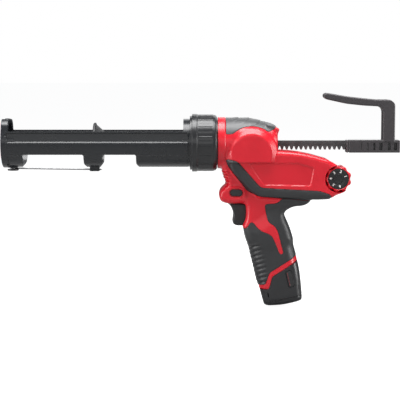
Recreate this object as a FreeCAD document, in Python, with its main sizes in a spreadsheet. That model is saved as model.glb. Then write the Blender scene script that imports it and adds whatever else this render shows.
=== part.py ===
"""Battery caulking gun for 310 ml cartridges: every separate piece, closed up and ready for use.

Frame: millimetres, +Z up, +X to the rear along the barrel, muzzle towards -X, left side at -Y.
The origin is on the barrel's axis, at the face that the cartridge's rear rim rests on.
The driving dimensions are the cells of the sheet "Sizes"; each piece is one labelled object.
"""
import FreeCAD, Part
import math
import os
import re

import Sketcher
from FreeCAD import Placement, Rotation, Vector

# alias, value in millimetres, degrees or a count, and what it is
SIZES = [
    ("cartridge_length", 216.0, "310 ml cartridge, rear rim to front shoulder"),
    ("cradle_bore", 25.4, "inside radius of the carriage"),
    ("cradle_radius", 27.8, "outside radius of the carriage"),
    ("front_thickness", 4.0, "front wall of the carriage"),
    ("nozzle_radius", 11.0, "slot that the nozzle's neck drops into"),
    ("rail_top", 14.0, "upper edge of the side rails"),
    ("rail_bottom", -12.4, "lower edge of the side rails"),
    ("rail_step", 2.2, "ledge along the outside of a rail"),
    ("rail_proud", 28.8, "outside radius of the rail's bead and lower half"),
    ("flange_radius", 29.4, "flange that the collar holds"),
    ("flange_thickness", 4.0, "flange that the collar holds"),
    ("collar_radius", 32.6, "grip surface of the collar"),
    ("collar_bead", 33.3, "bead round the collar's front"),
    ("collar_front", -3.5, "front face of the collar"),
    ("collar_back", 27.0, "rear face of the collar"),
    ("collar_bore", 30.0, "inside radius of the collar"),
    ("spigot_radius", 29.92, "spigot that the collar turns on"),
    ("spigot_bore", 24.4, "recess that the retracted piston parks in"),
    ("ring_front", 28.0, "front face of the head"),
    ("head_radius", 29.5, "round front of the head"),
    ("piston_radius", 23.0, "piston disc"),
    ("piston_face", -114.5, "piston's front face at rest"),
    ("rod_half_width", 4.75, "rack bar, half of its width"),
    ("rod_top", 2.6, "rack bar's upper face"),
    ("rack_module", 1.75, "rack and pinion"),
    ("rack_pitch_line", -5.95, "pitch line of the rack"),
    ("bushing_radius", 9.8, "front bushing of the rack bar"),
    ("pinion_teeth", 12, "teeth on the pinion"),
    ("pinion_x", 67.0, "place of the output shaft along the barrel"),
    ("shaft_radius", 4.0, "output shaft"),
    ("wheel_module", 1.0, "worm and wheel"),
    ("wheel_teeth", 32, "teeth on the worm wheel"),
    ("wheel_y", -9.5, "middle plane of the worm wheel"),
    ("wheel_width", 6.0, "worm wheel"),
    ("worm_radius", 5.5, "pitch radius of the worm"),
    ("motor_radius", 17.5, "motor can"),
    ("motor_front", 98.0, "front face of the motor"),
    ("motor_length", 46.0, "motor can"),
    ("block_front", 176.4, "front face of the pull handle's block"),
    ("block_back", 238.0, "rear face of the pull handle's block"),
    ("block_top", 3.2, "upper face of the block"),
    ("block_bottom", -11.0, "lower face of the block"),
    ("block_half_width", 8.5, "half of the block's width"),
    ("hook_half_width", 9.5, "half of the pull hook's width"),
    ("dial_x", 166.4, "speed dial's axis"),
    ("dial_z", -40.5, "speed dial's axis"),
    ("dial_radius", 15.1, "tips of the dial's lobes"),
    ("dial_valley", 13.5, "between the dial's lobes"),
    ("dial_face_radius", 11.4, "numbered disc"),
    ("dial_lobes", 9, "finger lobes round the dial"),
    ("dial_half_width", 20.0, "half of the dial's width"),
    ("tongue_half_width", 5.0, "tongue of the housing between the dial's halves"),
    ("arm_half_width", 24.0, "half width of the motor housing"),
    ("neck_half_width", 20.5, "half width above the trigger"),
    ("grip_half_width", 22.5, "half width of the grip"),
    ("wall", 2.4, "housing wall with its inlaid skin"),
    ("skin", 1.2, "depth of the inlaid rubber"),
    ("rake", 13.0, "lean of the grip, in degrees"),
    ("grip_x", 82.5, "top of the grip's axis"),
    ("grip_z", -91.0, "top of the grip's axis"),
    ("battery_half_width", 23.5, "half width of the battery's base"),
    ("tower_half_width", 19.6, "battery tower, side to side"),
    ("tower_top", -8.0, "top of the battery tower, along the grip's axis"),
    ("wire_radius", 0.8, "piercing wire"),
    ("gap", 0.3, "clearance between pieces that move past each other"),
]
VALUES = {alias: value for alias, value, _ in SIZES}

doc = FreeCAD.newDocument("caulking_gun")
cells = doc.addObject("Spreadsheet::Sheet", "Sizes")
for row, (alias, value, note) in enumerate(SIZES, 1):
    cells.set(f"A{row}", alias)
    cells.set(f"B{row}", str(value))
    cells.set(f"C{row}", note)
    cells.setAlias(f"B{row}", alias)
doc.recompute()

WORD = re.compile(r"[a-z][a-z_]*[a-z]")
NODES = []


def size(name):
    """The value of one cell."""
    return float(getattr(cells, name))


def bound(text):
    """An expression of cell names, written the way a property binds to it."""
    return WORD.sub(lambda m: "Sizes." + m.group(0) if m.group(0) in VALUES else m.group(0), text)


def number(value):
    """A number, or what an expression of cell names comes to now."""
    if not isinstance(value, str):
        return float(value)
    total = 0.0
    for sign, term in re.findall(r"([+-]?)\s*([^+\-\s][^+\-]*)", value):
        product = 1.0
        for factor in term.split("*"):
            factor = factor.strip()
            product *= size(factor) if factor in VALUES else float(factor)
        total += -product if sign == "-" else product
    return total


def bind(target, prop, value):
    """Sets a property, and binds it to the sheet where the value is an expression."""
    if isinstance(value, str):
        target.setExpression(prop, bound(value))
    else:
        target.setExpression(prop, None)
        setattr(target, prop, value)


def place(piece, x=0, y=0, z=0, turn=None):
    """Puts a piece at a point, whose coordinates may be expressions, and turns it there."""
    piece.Placement = Placement(Vector(number(x), number(y), number(z)), turn or Rotation())
    for letter, value in zip("xyz", (x, y, z)):
        if isinstance(value, str):
            piece.setExpression(f"Placement.Base.{letter}", bound(value))
    return piece


def node(piece, label):
    """Marks a finished sub-part, whose Label names its file."""
    piece.Label = label
    NODES.append(piece)
    return piece


# ---- Part primitives and booleans ----------------------------------------------------------

TURNS = {
    "x": Rotation(Vector(0, 1, 0), 90),
    "y": Rotation(Vector(1, 0, 0), -90),
    "z": Rotation(),
}


def box(name, low, high):
    """A box between two corners, given as numbers or expressions."""
    piece = doc.addObject("Part::Box", name)
    for prop, a, b in zip(("Length", "Width", "Height"), low, high):
        if isinstance(a, str) or isinstance(b, str):
            piece.setExpression(prop, bound(f"({b}) - ({a})"))
        else:
            setattr(piece, prop, b - a)
    return place(piece, *low)


def cylinder(name, radius, length, x=0, y=0, z=0, along="x"):
    """A cylinder that starts at a point and runs along one axis."""
    piece = doc.addObject("Part::Cylinder", name)
    bind(piece, "Radius", radius)
    bind(piece, "Height", length)
    return place(piece, x, y, z, TURNS[along])


def cone(name, first, last, length, x=0, y=0, z=0, along="x"):
    """A cone from the first radius to the last."""
    piece = doc.addObject("Part::Cone", name)
    bind(piece, "Radius1", first)
    bind(piece, "Radius2", last)
    bind(piece, "Height", length)
    return place(piece, x, y, z, TURNS[along])


def fused(name, *shapes):
    """The union of some objects."""
    piece = doc.addObject("Part::MultiFuse", name)
    piece.Shapes = list(shapes)
    return piece


def cut(name, base, *tools):
    """The base with the tools taken away."""
    piece = doc.addObject("Part::Cut", name)
    piece.Base = base
    piece.Tool = tools[0] if len(tools) == 1 else fused(name + "_tools", *tools)
    return piece


def common(name, *shapes):
    """What some objects share."""
    piece = doc.addObject("Part::MultiCommon", name)
    piece.Shapes = list(shapes)
    return piece


def own_shape(name, shape):
    """An object whose shape is worked out here from the sheet's values."""
    piece = doc.addObject("Part::Feature", name)
    piece.Shape = shape
    return piece


# ---- PartDesign bodies ---------------------------------------------------------------------


def body(name):
    return doc.addObject("PartDesign::Body", name)


def sketch(owner, plane, corners, name="Outline"):
    """A closed outline of straight sides, each corner held from the origin by two dimensions."""
    outline = owner.newObject("Sketcher::SketchObject", name)
    support = [f for f in owner.Origin.OriginFeatures if f.Role == plane][0]
    outline.AttachmentSupport = [(support, "")]
    outline.MapMode = "FlatFace"
    points = [Vector(number(a), number(b), 0) for a, b in corners]
    count = len(points)
    for i in range(count):
        outline.addGeometry(Part.LineSegment(points[i], points[(i + 1) % count]), False)
    for i in range(count):
        outline.addConstraint(Sketcher.Constraint("Coincident", i, 2, (i + 1) % count, 1))
    for i, corner in enumerate(corners):
        for kind, value, now in zip(("DistanceX", "DistanceY"), corner, points[i]):
            which = outline.addConstraint(Sketcher.Constraint(kind, -1, 1, i, 1, now))
            if isinstance(value, str):
                outline.setExpression(f"Constraints[{which}]", bound(value))
    return outline


def turned(name, corners, plane="XZ_Plane", axis="H_Axis"):
    """A body turned from an outline of distance along the axis and radius."""
    owner = body(name)
    outline = sketch(owner, plane, corners)
    feature = owner.newObject("PartDesign::Revolution", "Turning")
    feature.Profile = outline
    feature.ReferenceAxis = (outline, [axis])
    feature.Angle = 360
    return owner


def padded(name, plane, corners, length):
    """A body padded by a length to both sides of its sketch's plane."""
    owner = body(name)
    feature = owner.newObject("PartDesign::Pad", "Pad")
    feature.Profile = sketch(owner, plane, corners)
    bind(feature, "Length", length)
    feature.Midplane = True
    return owner


def rounded(owner, radius, wanted, name="Rounding"):
    """Rounds those edges of a body that a test picks."""
    doc.recompute()
    tip = owner.Tip
    names = [f"Edge{i}" for i, e in enumerate(tip.Shape.Edges, 1) if wanted(e)]
    feature = owner.newObject("PartDesign::Fillet", name)
    feature.Base = (tip, names)
    bind(feature, "Radius", radius)
    return owner


def runs_along(edge, direction):
    """Whether an edge is straight along a direction."""
    if edge.Curve.TypeId != "Part::GeomLine":
        return False
    return abs(edge.Curve.Direction.dot(Vector(*direction))) > 0.999


def ring_of(count, radius):
    """Points evenly round a circle."""
    for i in range(count):
        angle = 2 * math.pi * i / count
        yield radius * math.cos(angle), radius * math.sin(angle)


def inset(corners, depth):
    """A closed outline moved inwards by a depth, side by side."""
    area = sum(a[0] * b[1] - b[0] * a[1] for a, b in zip(corners, corners[1:] + corners[:1]))
    side = 1.0 if area > 0 else -1.0
    result = []
    for i, (x, z) in enumerate(corners):
        ax, az = corners[i - 1]
        bx, bz = corners[(i + 1) % len(corners)]
        before = math.hypot(x - ax, z - az)
        after = math.hypot(bx - x, bz - z)
        nx, nz = -side * (z - az) / before, side * (x - ax) / before
        mx, mz = -side * (bz - z) / after, side * (bx - x) / after
        share = depth / (1.0 + nx * mx + nz * mz)
        result.append((x + (nx + mx) * share, z + (nz + mz) * share))
    return result


def slab(name, corners, half_width):
    """An outline in the side view, padded to both sides of the middle plane."""
    width = f"{half_width} * 2" if isinstance(half_width, str) else half_width * 2
    return padded(name, "XZ_Plane", corners, width)


# ---- Housing: the outline of each part of it -----------------------------------------------

ARM = [
    (60.0, -9.0), (99.3, -8.6), (124.0, -10.9), (138.0, -13.8), (147.0, -16.5), (156.6, -18.8),
    (161.0, -23.4), (166.0, -24.8), (166.4, -40.5), (176.0, -53.6), (164.0, -58.6), (161.0, -61.0),
    (157.0, -62.9), (139.0, -63.7), (75.0, -62.3), (49.0, -33.0), (49.0, -20.0),
]
HANDLE = [
    (34.0, -20.0), (34.0, -31.6), (39.4, -46.6), (35.4, -50.0), (31.3, -55.3), (30.2, -59.4),
    (32.1, -66.0), (38.7, -70.6), (61.5, -71.0), (61.5, -102.0), (64.0, -112.0), (104.0, -112.0),
    (109.4, -98.0), (103.2, -83.3), (106.7, -76.8), (114.8, -71.6), (127.6, -71.3), (135.7, -65.8),
    (137.0, -60.0), (76.0, -50.0), (49.1, -19.8),
]
PAD_REGION = [(37.7, 40.0), (37.7, 10.8)] + [
    (67.0 + 31.2 * math.cos(math.radians(a)), -12.0 + 31.2 * math.sin(math.radians(a)))
    for a in (133, 120, 105, 90, 75, 60, 52)
] + [(96.0, 17.0), (99.0, 40.0)]
TRIM_REGION = [
    (38.8, -18.2), (49.1, -19.8), (76.5, -50.3), (145.3, -54.2), (158.1, -59.0), (158.0, -66.0),
    (137.0, -66.0), (74.9, -59.9), (62.0, -53.4), (41.1, -26.2),
]
RUBBER_REGION = [
    (56.0, -98.8), (62.0, -98.8), (68.9, -91.9), (74.2, -100.0), (88.2, -105.3), (94.4, -112.8),
    (100.9, -130.2), (103.7, -127.8), (99.8, -113.9), (96.3, -102.3), (88.2, -93.7), (83.5, -72.2),
    (100.9, -71.5), (103.2, -66.4), (142.0, -66.4), (142.0, -80.0), (134.0, -80.0),
    (134.0, -126.4), (120.6, -132.5), (89.3, -151.0), (85.4, -164.9), (77.7, -166.1), (56.0, -166.1),
]
RIM = [
    (140.0, -128.0), (120.6, -136.6), (92.0, -155.2), (88.2, -170.0), (78.1, -170.0),
    (50.0, -170.0), (50.0, -200.0), (140.0, -200.0),
]


def leaned(x, z):
    """A point on the grip's own axes, in the row's frame."""
    lean = math.radians(size("rake"))
    return (
        size("grip_x") + x * math.cos(lean) - z * math.sin(lean),
        size("grip_z") + x * math.sin(lean) + z * math.cos(lean),
    )


def raked_column(name, front, back, low, high, half_width, corner):
    """A rounded column along the grip's axis, between two heights on it."""
    owner = body(name)
    side = number(half_width)
    feature = owner.newObject("PartDesign::Pad", "Pad")
    feature.Profile = sketch(owner, "XY_Plane", [(front, -side), (back, -side), (back, side), (front, side)])
    feature.Length = high - low
    rounded(owner, corner, lambda e: runs_along(e, (0, 0, 1)))
    x, z = leaned(0, low)
    return place(owner, x, 0, z, Rotation(Vector(0, 1, 0), -size("rake")))


def hull(name, depth):
    """The whole outside of the housing as one solid, moved inwards by a depth."""
    front = size("ring_front")
    round_front = size("head_radius")
    radii = [(36.5, round_front), (36.5, 29.1), (66.0, 28.4), (73.0, 26.4), (82.0, 24.1), (92.0, 21.5)]
    profile = [(front + depth, round_front - depth)] + [(x, r - depth) for x, r in radii]
    profile += [(96.0 - depth, 18.3 - depth), (97.0 - depth, 16.8 - depth), (97.0 - depth, 0.0)]
    head = turned(name + "_head", [(front + depth, 0.0)] + profile)
    dome = [(24.0, 30.0), (27.6, 29.0), (29.5, 26.6), (30.0, 23.5)]
    rim = [(y - depth, r - depth) for y, r in dome]
    face = rim[-1][0]
    sides = [(-y, r) for y, r in reversed(rim)] + rim
    boss = turned(name + "_dome", [(-face, 0.0)] + sides + [(face, 0.0)], "YZ_Plane")
    place(boss, "pinion_x", 0, -12)
    arm = slab(name + "_arm", inset(ARM, depth), number("arm_half_width") - depth)
    handle = slab(name + "_handle", inset(HANDLE, depth), number("neck_half_width") - depth)
    for prism in (arm, handle):
        rounded(prism, 3.0 - depth, lambda e: abs(e.BoundBox.YMax - e.BoundBox.YMin) < 0.01)
    grip = raked_column(
        name + "_grip", -23.6 + depth, 27.0 - depth, -86.0, -6.0, number("grip_half_width") - depth, 13.0 - depth
    )
    return fused(name, head, boss, arm, handle, grip)


outside = hull("outside", 0.0)
under = hull("under_skin", size("skin"))
inside = hull("inside", size("wall"))

layer = cut("skin_layer", outside, under)
pad = common("head_pad", layer, slab("pad_region", PAD_REGION, 40.0))
trim = common("trim", layer, slab("trim_region", TRIM_REGION, 40.0))
rim_cut = slab("below_rim", RIM, 40.0)
slot = box("trigger_slot", (40.0, -8.9, -96.6), (74.0, 8.9, -71.0))
rubber_part = common("rubber_part", layer, slab("rubber_region", RUBBER_REGION, 40.0))
rubber = cut("grip_rubber", rubber_part, slot, rim_cut, trim)

SCREWS = [  # x, z and how far the head lies from the middle plane
    (36.6, -60.0, 14.0), (88.0, 11.0, 14.0), (44.0, 14.0, 20.0), (128.0, -17.1, 20.0), (119.0, -66.0, 16.0),
    (97.0, -80.0, 16.0),
]


def screws(name, shank, head_radius, reach, overlap):
    """The housing's screws, or the holes for them: one solid for each."""
    parts = []
    for i, (x, z, y) in enumerate(SCREWS):
        parts.append(cylinder(f"{name}_shank_{i}", shank, y + 8.0, x, -8.0, z, "y"))
        parts.append(cylinder(f"{name}_head_{i}", head_radius, reach, x, y - overlap, z, "y"))
    return fused(name, *parts)


cup = cylinder("dial_cup", "dial_radius + gap * 2 + wall", 60.0, "dial_x", -30, "dial_z", "y")
posts = [cylinder(f"post_{i}", 3.6, y + 26.0, x, -24.0, z, "y") for i, (x, z, y) in enumerate(SCREWS)]
channel_floor = box("channel_floor", (85.2, -12.0, -13.9), (132.0, 12.0, -11.5))
channel_block = box("channel_block", (85.0, -11.6, -13.9), (96.0, 11.6, 5.7))
rear_rib = box("rear_rib", (78.6, -27.0, 1.6), (81.4, 27.0, 6.5))
front_rib = box("bearing_rib", (44.4, -18.0, -49.0), (49.2, 14.0, -44.5))
motor_rib_front = box("motor_rib_front", (106.0, -22.0, -62.0), (109.0, 22.0, -14.0))
motor_rib_back = box("motor_rib_back", (136.0, -22.0, -62.0), (139.0, 22.0, -14.0))
stand_left = cylinder("stand_left", 10.0, 14.0, "pinion_x", -28, -16.45, "y")
stand_right = cylinder("stand_right", 10.0, 21.0, "pinion_x", 7, -16.45, "y")
ribs = common(
    "ribs",
    under,
    fused(
        "rib_parts", cup, channel_floor, channel_block, rear_rib, front_rib, motor_rib_front, motor_rib_back,
        stand_left, stand_right, *posts
    ),
)
shell = fused("shell_and_ribs", cut("shell", outside, inside), ribs)

tongue = common(
    "tongue",
    fused(
        "tongue_parts",
        cylinder("tongue_boss", 7.5, "tongue_half_width * 2", "dial_x", "-tongue_half_width", "dial_z", "y"),
        box("tongue_web", (148.0, -5.0, -48.0), (166.0, 5.0, -33.0)),
    ),
    box("tongue_room", (140.0, -5.0, -60.0), (180.0, 5.0, -20.0)),
)
pill = [
    (49.6 + side * (3.35 + 3.65 * math.cos(a)), -56.3 + 3.65 * math.sin(a) * side)
    for side in (1, -1)
    for a in [math.radians(v) for v in (-90, -60, -30, 0, 30, 60, 90)]
]
lock_hole = slab("lock_hole", inset(pill, -size("gap")), 30.0)


# ---- Pieces fixed in the housing ------------------------------------------------------------

nose_ring = turned("nose_ring_turning", [
    (4.05, "spigot_bore"), (4.05, "spigot_radius"), (23.7, "spigot_radius"), (23.7, 29.0), (26.3, 29.0),
    (26.3, "spigot_radius"), (27.7, "spigot_radius"), (27.7, 26.0), (36.0, 26.0), (36.0, "bushing_radius"),
    (32.5, "bushing_radius"), (32.5, "spigot_bore"),
])
BUSHING_LOW = ("-rod_half_width - 0.08", -7.78)
BUSHING_HIGH = ("rod_half_width + 0.08", "rod_top + 0.08")
front_bushing = cut(
    "front_bushing",
    fused(
        "front_bushing_body",
        cylinder("front_bushing_sleeve", "bushing_radius", 6.0, 31.0),
        cylinder("front_bushing_flange", "bushing_radius + 2", 1.5, 31.0),
    ),
    box("front_bushing_bore", (20.0, *BUSHING_LOW), (40.0, *BUSHING_HIGH)),
)
rear_bushing = cut(
    "rear_bushing",
    box("rear_bushing_body", (78.0, -6.2, -10.0), (82.0, 9.0, 5.2)),
    box("rear_bushing_bore", (77.0, *BUSHING_LOW), (83.0, *BUSHING_HIGH)),
)
MOTOR_Z = -37.95
motor_can = cut(
    "motor_can",
    cylinder("motor_can_body", "motor_radius", "motor_length", "motor_front", 0, MOTOR_Z),
    cylinder("motor_can_room", "motor_radius - 1.5", "motor_length - 2", "motor_front + 2", 0, MOTOR_Z),
)
motor_cap = fused(
    "motor_cap",
    cylinder("motor_cap_plate", 15.5, 3.0, "motor_front + motor_length", 0, MOTOR_Z),
    cylinder("motor_cap_plug", "motor_radius - 1.6", 3.0, "motor_front + motor_length - 3", 0, MOTOR_Z),
)
gear_case = cut(
    "gear_case",
    fused(
        "gear_case_body",
        cylinder("gear_case_drum", 16.5, 10.0, 88.0, 0, MOTOR_Z),
        box("gear_case_nose", (80.3, -16.5, -45.0), (88.5, -2.5, -30.5)),
    ),
    cylinder("gear_case_bore", 3.05, 9.0, 79.0, "wheel_y", MOTOR_Z),
)
worm_bearing = cut(
    "worm_bearing",
    box("worm_bearing_body", (44.4, -16.0, -44.5), (49.2, -3.0, -31.5)),
    cylinder("worm_bearing_bore", 3.05, 8.0, 43.0, "wheel_y", MOTOR_Z),
)


def bearing(name, y):
    """A plain bearing of the output shaft."""
    return cut(
        name,
        cylinder(name + "_body", 8.0, 6.0, "pinion_x", y, -16.45, "y"),
        cylinder(name + "_bore", "shaft_radius + 0.05", 8.0, "pinion_x", y - 1, -16.45, "y"),
    )


bearing_left = bearing("bearing_left", -20.0)
bearing_right = bearing("bearing_right", 7.0)
switch = fused(
    "switch",
    box("switch_case", (73.5, -8.0, -87.0), (88.0, 8.0, -75.0)),
    box("switch_terminal_left", (76.0, -6.0, -75.0), (77.0, -3.0, -71.5)),
    box("switch_terminal_right", (76.0, 3.0, -75.0), (77.0, 6.0, -71.5)),
)
board = fused(
    "board",
    box("board_plate", (65.0, -14.0, -69.0), (104.0, 14.0, -67.4)),
    box("board_chip", (90.0, -5.0, -67.4), (98.0, 3.0, -65.8)),
    cylinder("board_capacitor", 4.0, 5.0, 99.0, 8, -67.4, "z"),
)
potentiometer = cut(
    "potentiometer",
    cylinder("potentiometer_body", 5.5, 6.0, "dial_x", -3, "dial_z", "y"),
    cylinder("potentiometer_bore", 3.05, 8.0, "dial_x", -4, "dial_z", "y"),
)


def leaned_box(name, low, high):
    """A box on the grip's own axes."""
    piece = doc.addObject("Part::Box", name)
    piece.Length = high[0] - low[0]
    piece.Width = high[1] - low[1]
    piece.Height = high[2] - low[2]
    x, z = leaned(low[0], low[2])
    return place(piece, x, low[1], z, Rotation(Vector(0, 1, 0), -size("rake")))


contact_block = leaned_box("contact_block", (0.0, -9.0, -4.6), (14.0, 9.0, -0.8))

# ---- Housing halves -------------------------------------------------------------------------

channel = fused(
    "handle_channel",
    box("channel_in_head", (84.9, -9.2, -11.5), (100.0, 9.2, 3.7)),
    box("channel_on_arm", (96.9, -9.2, -11.5), (133.0, 9.2, 10.0)),
)
pocket_left = cylinder("pocket_left", "dial_radius + gap * 2", 40.0, "dial_x", -45.3, "dial_z", "y")
pocket_right = cylinder("pocket_right", "dial_radius + gap * 2", 40.0, "dial_x", 5.3, "dial_z", "y")
housing = cut(
    "housing",
    fused(
        "shell_with_tongue",
        cut("shell_without_dial", shell, pocket_left, pocket_right),
        tongue,
    ),
    pad, trim, rubber, rim_cut, slot, lock_hole, channel,
    cylinder("head_bore", 26.0, 6.0, 27.0),
    cylinder("seat_left", 8.0, 6.0, "pinion_x", -20, -16.45, "y"),
    cylinder("seat_right", 8.0, 6.0, "pinion_x", 7, -16.45, "y"),
    cylinder("motor_room", "motor_radius", "motor_length + 6", "motor_front", 0, MOTOR_Z),
    cylinder("shaft_room", 5.0, 36.0, "pinion_x", -21.3, -16.45, "y"),
    cylinder("dial_shaft_hole", 3.05, 20.0, "dial_x", -10, "dial_z", "y"),
    cylinder("potentiometer_seat", 5.5, 6.0, "dial_x", -3, "dial_z", "y"),
    box("worm_bearing_seat", (44.4, -16.0, -44.5), (49.2, -3.0, -31.5)),
    box("rear_bushing_seat", (78.0, -6.2, -10.0), (82.0, 9.0, 5.2)),
    screws("screw_hole", 1.6, 3.2, 14.0, 0.0),
)
left_side = box("left_side", (-300.0, -100.0, -300.0), (300.0, 0.0, 300.0))
right_side = box("right_side", (-300.0, 0.0, -300.0), (300.0, 100.0, 300.0))
for piece, label in ((housing, "housing"), (pad, "head_pad"), (trim, "trim"), (rubber, "grip_rubber")):
    for side, half in (("left", left_side), ("right", right_side)):
        node(common(f"{label}_{side}", piece, half), f"{label}_{side}")

node(nose_ring, "nose_ring")
node(front_bushing, "front_rod_bushing")
node(rear_bushing, "rear_rod_bushing")
node(motor_can, "motor_can")
node(motor_cap, "motor_end_cap")
node(gear_case, "gearbox_case")
node(worm_bearing, "worm_bearing")
node(bearing_left, "output_bearing_left")
node(bearing_right, "output_bearing_right")
node(switch, "switch_module")
node(board, "control_board")
node(potentiometer, "dial_potentiometer")
node(contact_block, "contact_block")
node(screws("housing_screw", 1.6, 3.0, 2.0, 0.0), "housing_screws")

# ---- Cartridge carriage ---------------------------------------------------------------------

u_bore = fused(
    "cradle_bore_all",
    cylinder("cradle_bore_round", "cradle_bore", "cartridge_length", "-cartridge_length"),
    box("cradle_bore_top", ("-cartridge_length", "-cradle_bore", 0.0), (-11.0, "cradle_bore", 40.0)),
)
cradle = common(
    "cradle",
    fused(
        "cradle_outside",
        cylinder("cradle_round", "cradle_radius", "cartridge_length - 6", "-cartridge_length"),
        box("cradle_sides", ("-cartridge_length", "-cradle_radius", 0.0), (-6.0, "cradle_radius", "rail_top")),
    ),
    box("cradle_height", (-220.0, -40.0, -40.0), (0.0, 40.0, "rail_top")),
)
lower_rail = common(
    "lower_rail",
    fused(
        "lower_rail_outside",
        cylinder("lower_rail_round", "rail_proud", 199.0, -212.0),
        box("lower_rail_sides", (-212.0, "-rail_proud", 0.0), (-13.0, "rail_proud", "rail_step")),
    ),
    box("lower_rail_height", (-212.0, -40.0, "rail_bottom"), (-13.0, 40.0, "rail_step")),
)
beads = box("rail_beads", (-212.0, "-rail_proud", "rail_top - 1.8"), (-12.0, "rail_proud", "rail_top"))
windows = fused(
    "windows",
    box("window_front", (-191.0, -40.0, -40.0), (-126.2, 40.0, "rail_bottom")),
    box("window_rear", (-103.2, -40.0, -40.0), (-66.4, 40.0, "rail_bottom")),
)
front_ring = cut(
    "front_ring",
    cylinder("front_ring_round", 28.4, 7.5, "-cartridge_length - front_thickness"),
    box("front_ring_opening", (-230.0, -15.0, 8.0), (-200.0, 15.0, 40.0)),
    box("front_ring_top", (-240.0, -40.0, 26.8), (-200.0, 40.0, 40.0)),
)
slot_in_wall = fused(
    "nozzle_slot",
    cylinder("nozzle_slot_round", "nozzle_radius", 12.0, -226.0),
    box("nozzle_slot_straight", (-226.0, "-nozzle_radius", 0.0), (-214.0, "nozzle_radius", 40.0)),
)
rear_ring = fused(
    "rear_ring",
    cylinder("rear_ring_round", 27.6, 14.0, -12.0),
    cylinder("rear_flange", "flange_radius", "flange_thickness", 0),
)
foot = cut(
    "wire_foot",
    box("wire_foot_block", (-119.0, -5.0, -32.3), (-108.0, 5.0, -26.8)),
    box("wire_groove", (-125.0, -1.1, -30.7), (-100.0, 6.0, -28.5)),
)
boss = cylinder("wire_boss", 5.5, 2.4, -208.0, 0, -28.6, "z")
carriage = cut(
    "carriage",
    fused("carriage_outside", cradle, lower_rail, beads, front_ring, rear_ring, foot, boss),
    u_bore, windows, slot_in_wall,
    cylinder("shoulder_bore", "piston_radius + 0.5", 10.0, -2.0),
    cylinder("pivot_hole", 1.6, 10.0, -208.0, 0, -34, "z"),
)
node(carriage, "carriage_frame")
pivot = fused(
    "pivot",
    cylinder("pivot_shank", 1.6, 5.8, -208.0, 0, -31.6, "z"),
    cylinder("pivot_head", 6.4, 1.2, -208.0, 0, -31.6, "z"),
)
node(pivot, "wire_pivot_screw")
wire = cut(
    "wire",
    fused(
        "wire_body",
        cylinder("wire_eye", 3.3, 1.4, -208.0, 0, -30.3, "z"),
        cylinder("wire_leg", "wire_radius", 99.0, -205.5, 0, -29.6),
        cone("wire_point", "wire_radius", 0.15, 3.0, -106.5, 0, -29.6),
    ),
    cylinder("wire_eye_hole", 1.68, 4.0, -208.0, 0, -32, "z"),
)
node(wire, "piercing_rod")

# ---- Collar ---------------------------------------------------------------------------------

collar = turned("collar_turning", [
    ("collar_front", 28.0), ("collar_front", 31.0), (-1.0, 31.0), (-1.0, "collar_bead"), (4.6, "collar_bead"),
    (5.2, "collar_radius"), (23.0, "collar_radius"), (26.0, 31.6), ("collar_back", 30.6),
    ("collar_back", "collar_bore"), (26.0, "collar_bore"), (26.0, 29.08), (24.0, 29.08), (24.0, "collar_bore"),
    (-0.5, "collar_bore"), (-0.5, 28.0),
])
grooves = []
for i, (y, z) in enumerate(ring_of(18, 33.2)):
    groove = cylinder(f"collar_groove_{i}", 1.2, 17.0, 6.2, y, z)
    grooves.append(groove)
node(cut("collar_cut", collar, *grooves), "collar")

# ---- Rack rod, piston and pull handle -------------------------------------------------------


def extruded(corners, y, width):
    """A solid from an outline in the side view, from y over a width."""
    wire_loop = Part.makePolygon([Vector(x, y, z) for x, z in corners + corners[:1]])
    return Part.Face(wire_loop).extrude(Vector(0, width, 0))


def rack_shape():
    """The bar with its row of straight-flanked teeth below, and its holes."""
    module = size("rack_module")
    pitch = math.pi * module
    line = size("rack_pitch_line")
    root = line + 1.25 * module
    tip = line - module
    slope = math.tan(math.radians(20.0))
    half_tip = pitch / 4 - module * slope - 0.08
    half_root = pitch / 4 + 1.25 * module * slope - 0.08
    corners = [(-106.0, size("rod_top")), (232.0, size("rod_top")), (232.0, tip), (177.0, tip), (177.0, root)]
    offset = size("pinion_x")
    teeth = [offset + pitch * (n + 0.5) for n in range(19, -27, -1)]
    for x in teeth:
        corners += [(x + half_root, root), (x + half_tip, tip), (x - half_tip, tip), (x - half_root, root)]
    corners += [(-77.0, root), (-77.0, tip), (-106.0, tip)]
    half = size("rod_half_width")
    bar = extruded(corners, -half, 2 * half)
    screw_hole = Part.makeCylinder(2.5, 9.0, Vector(-107.0, 0, -2.5), Vector(1, 0, 0))
    pins = [Part.makeCylinder(1.5, 30.0, Vector(x, -15, -3.5), Vector(0, 1, 0)) for x in PINS]
    return bar.cut([screw_hole] + pins)


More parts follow.
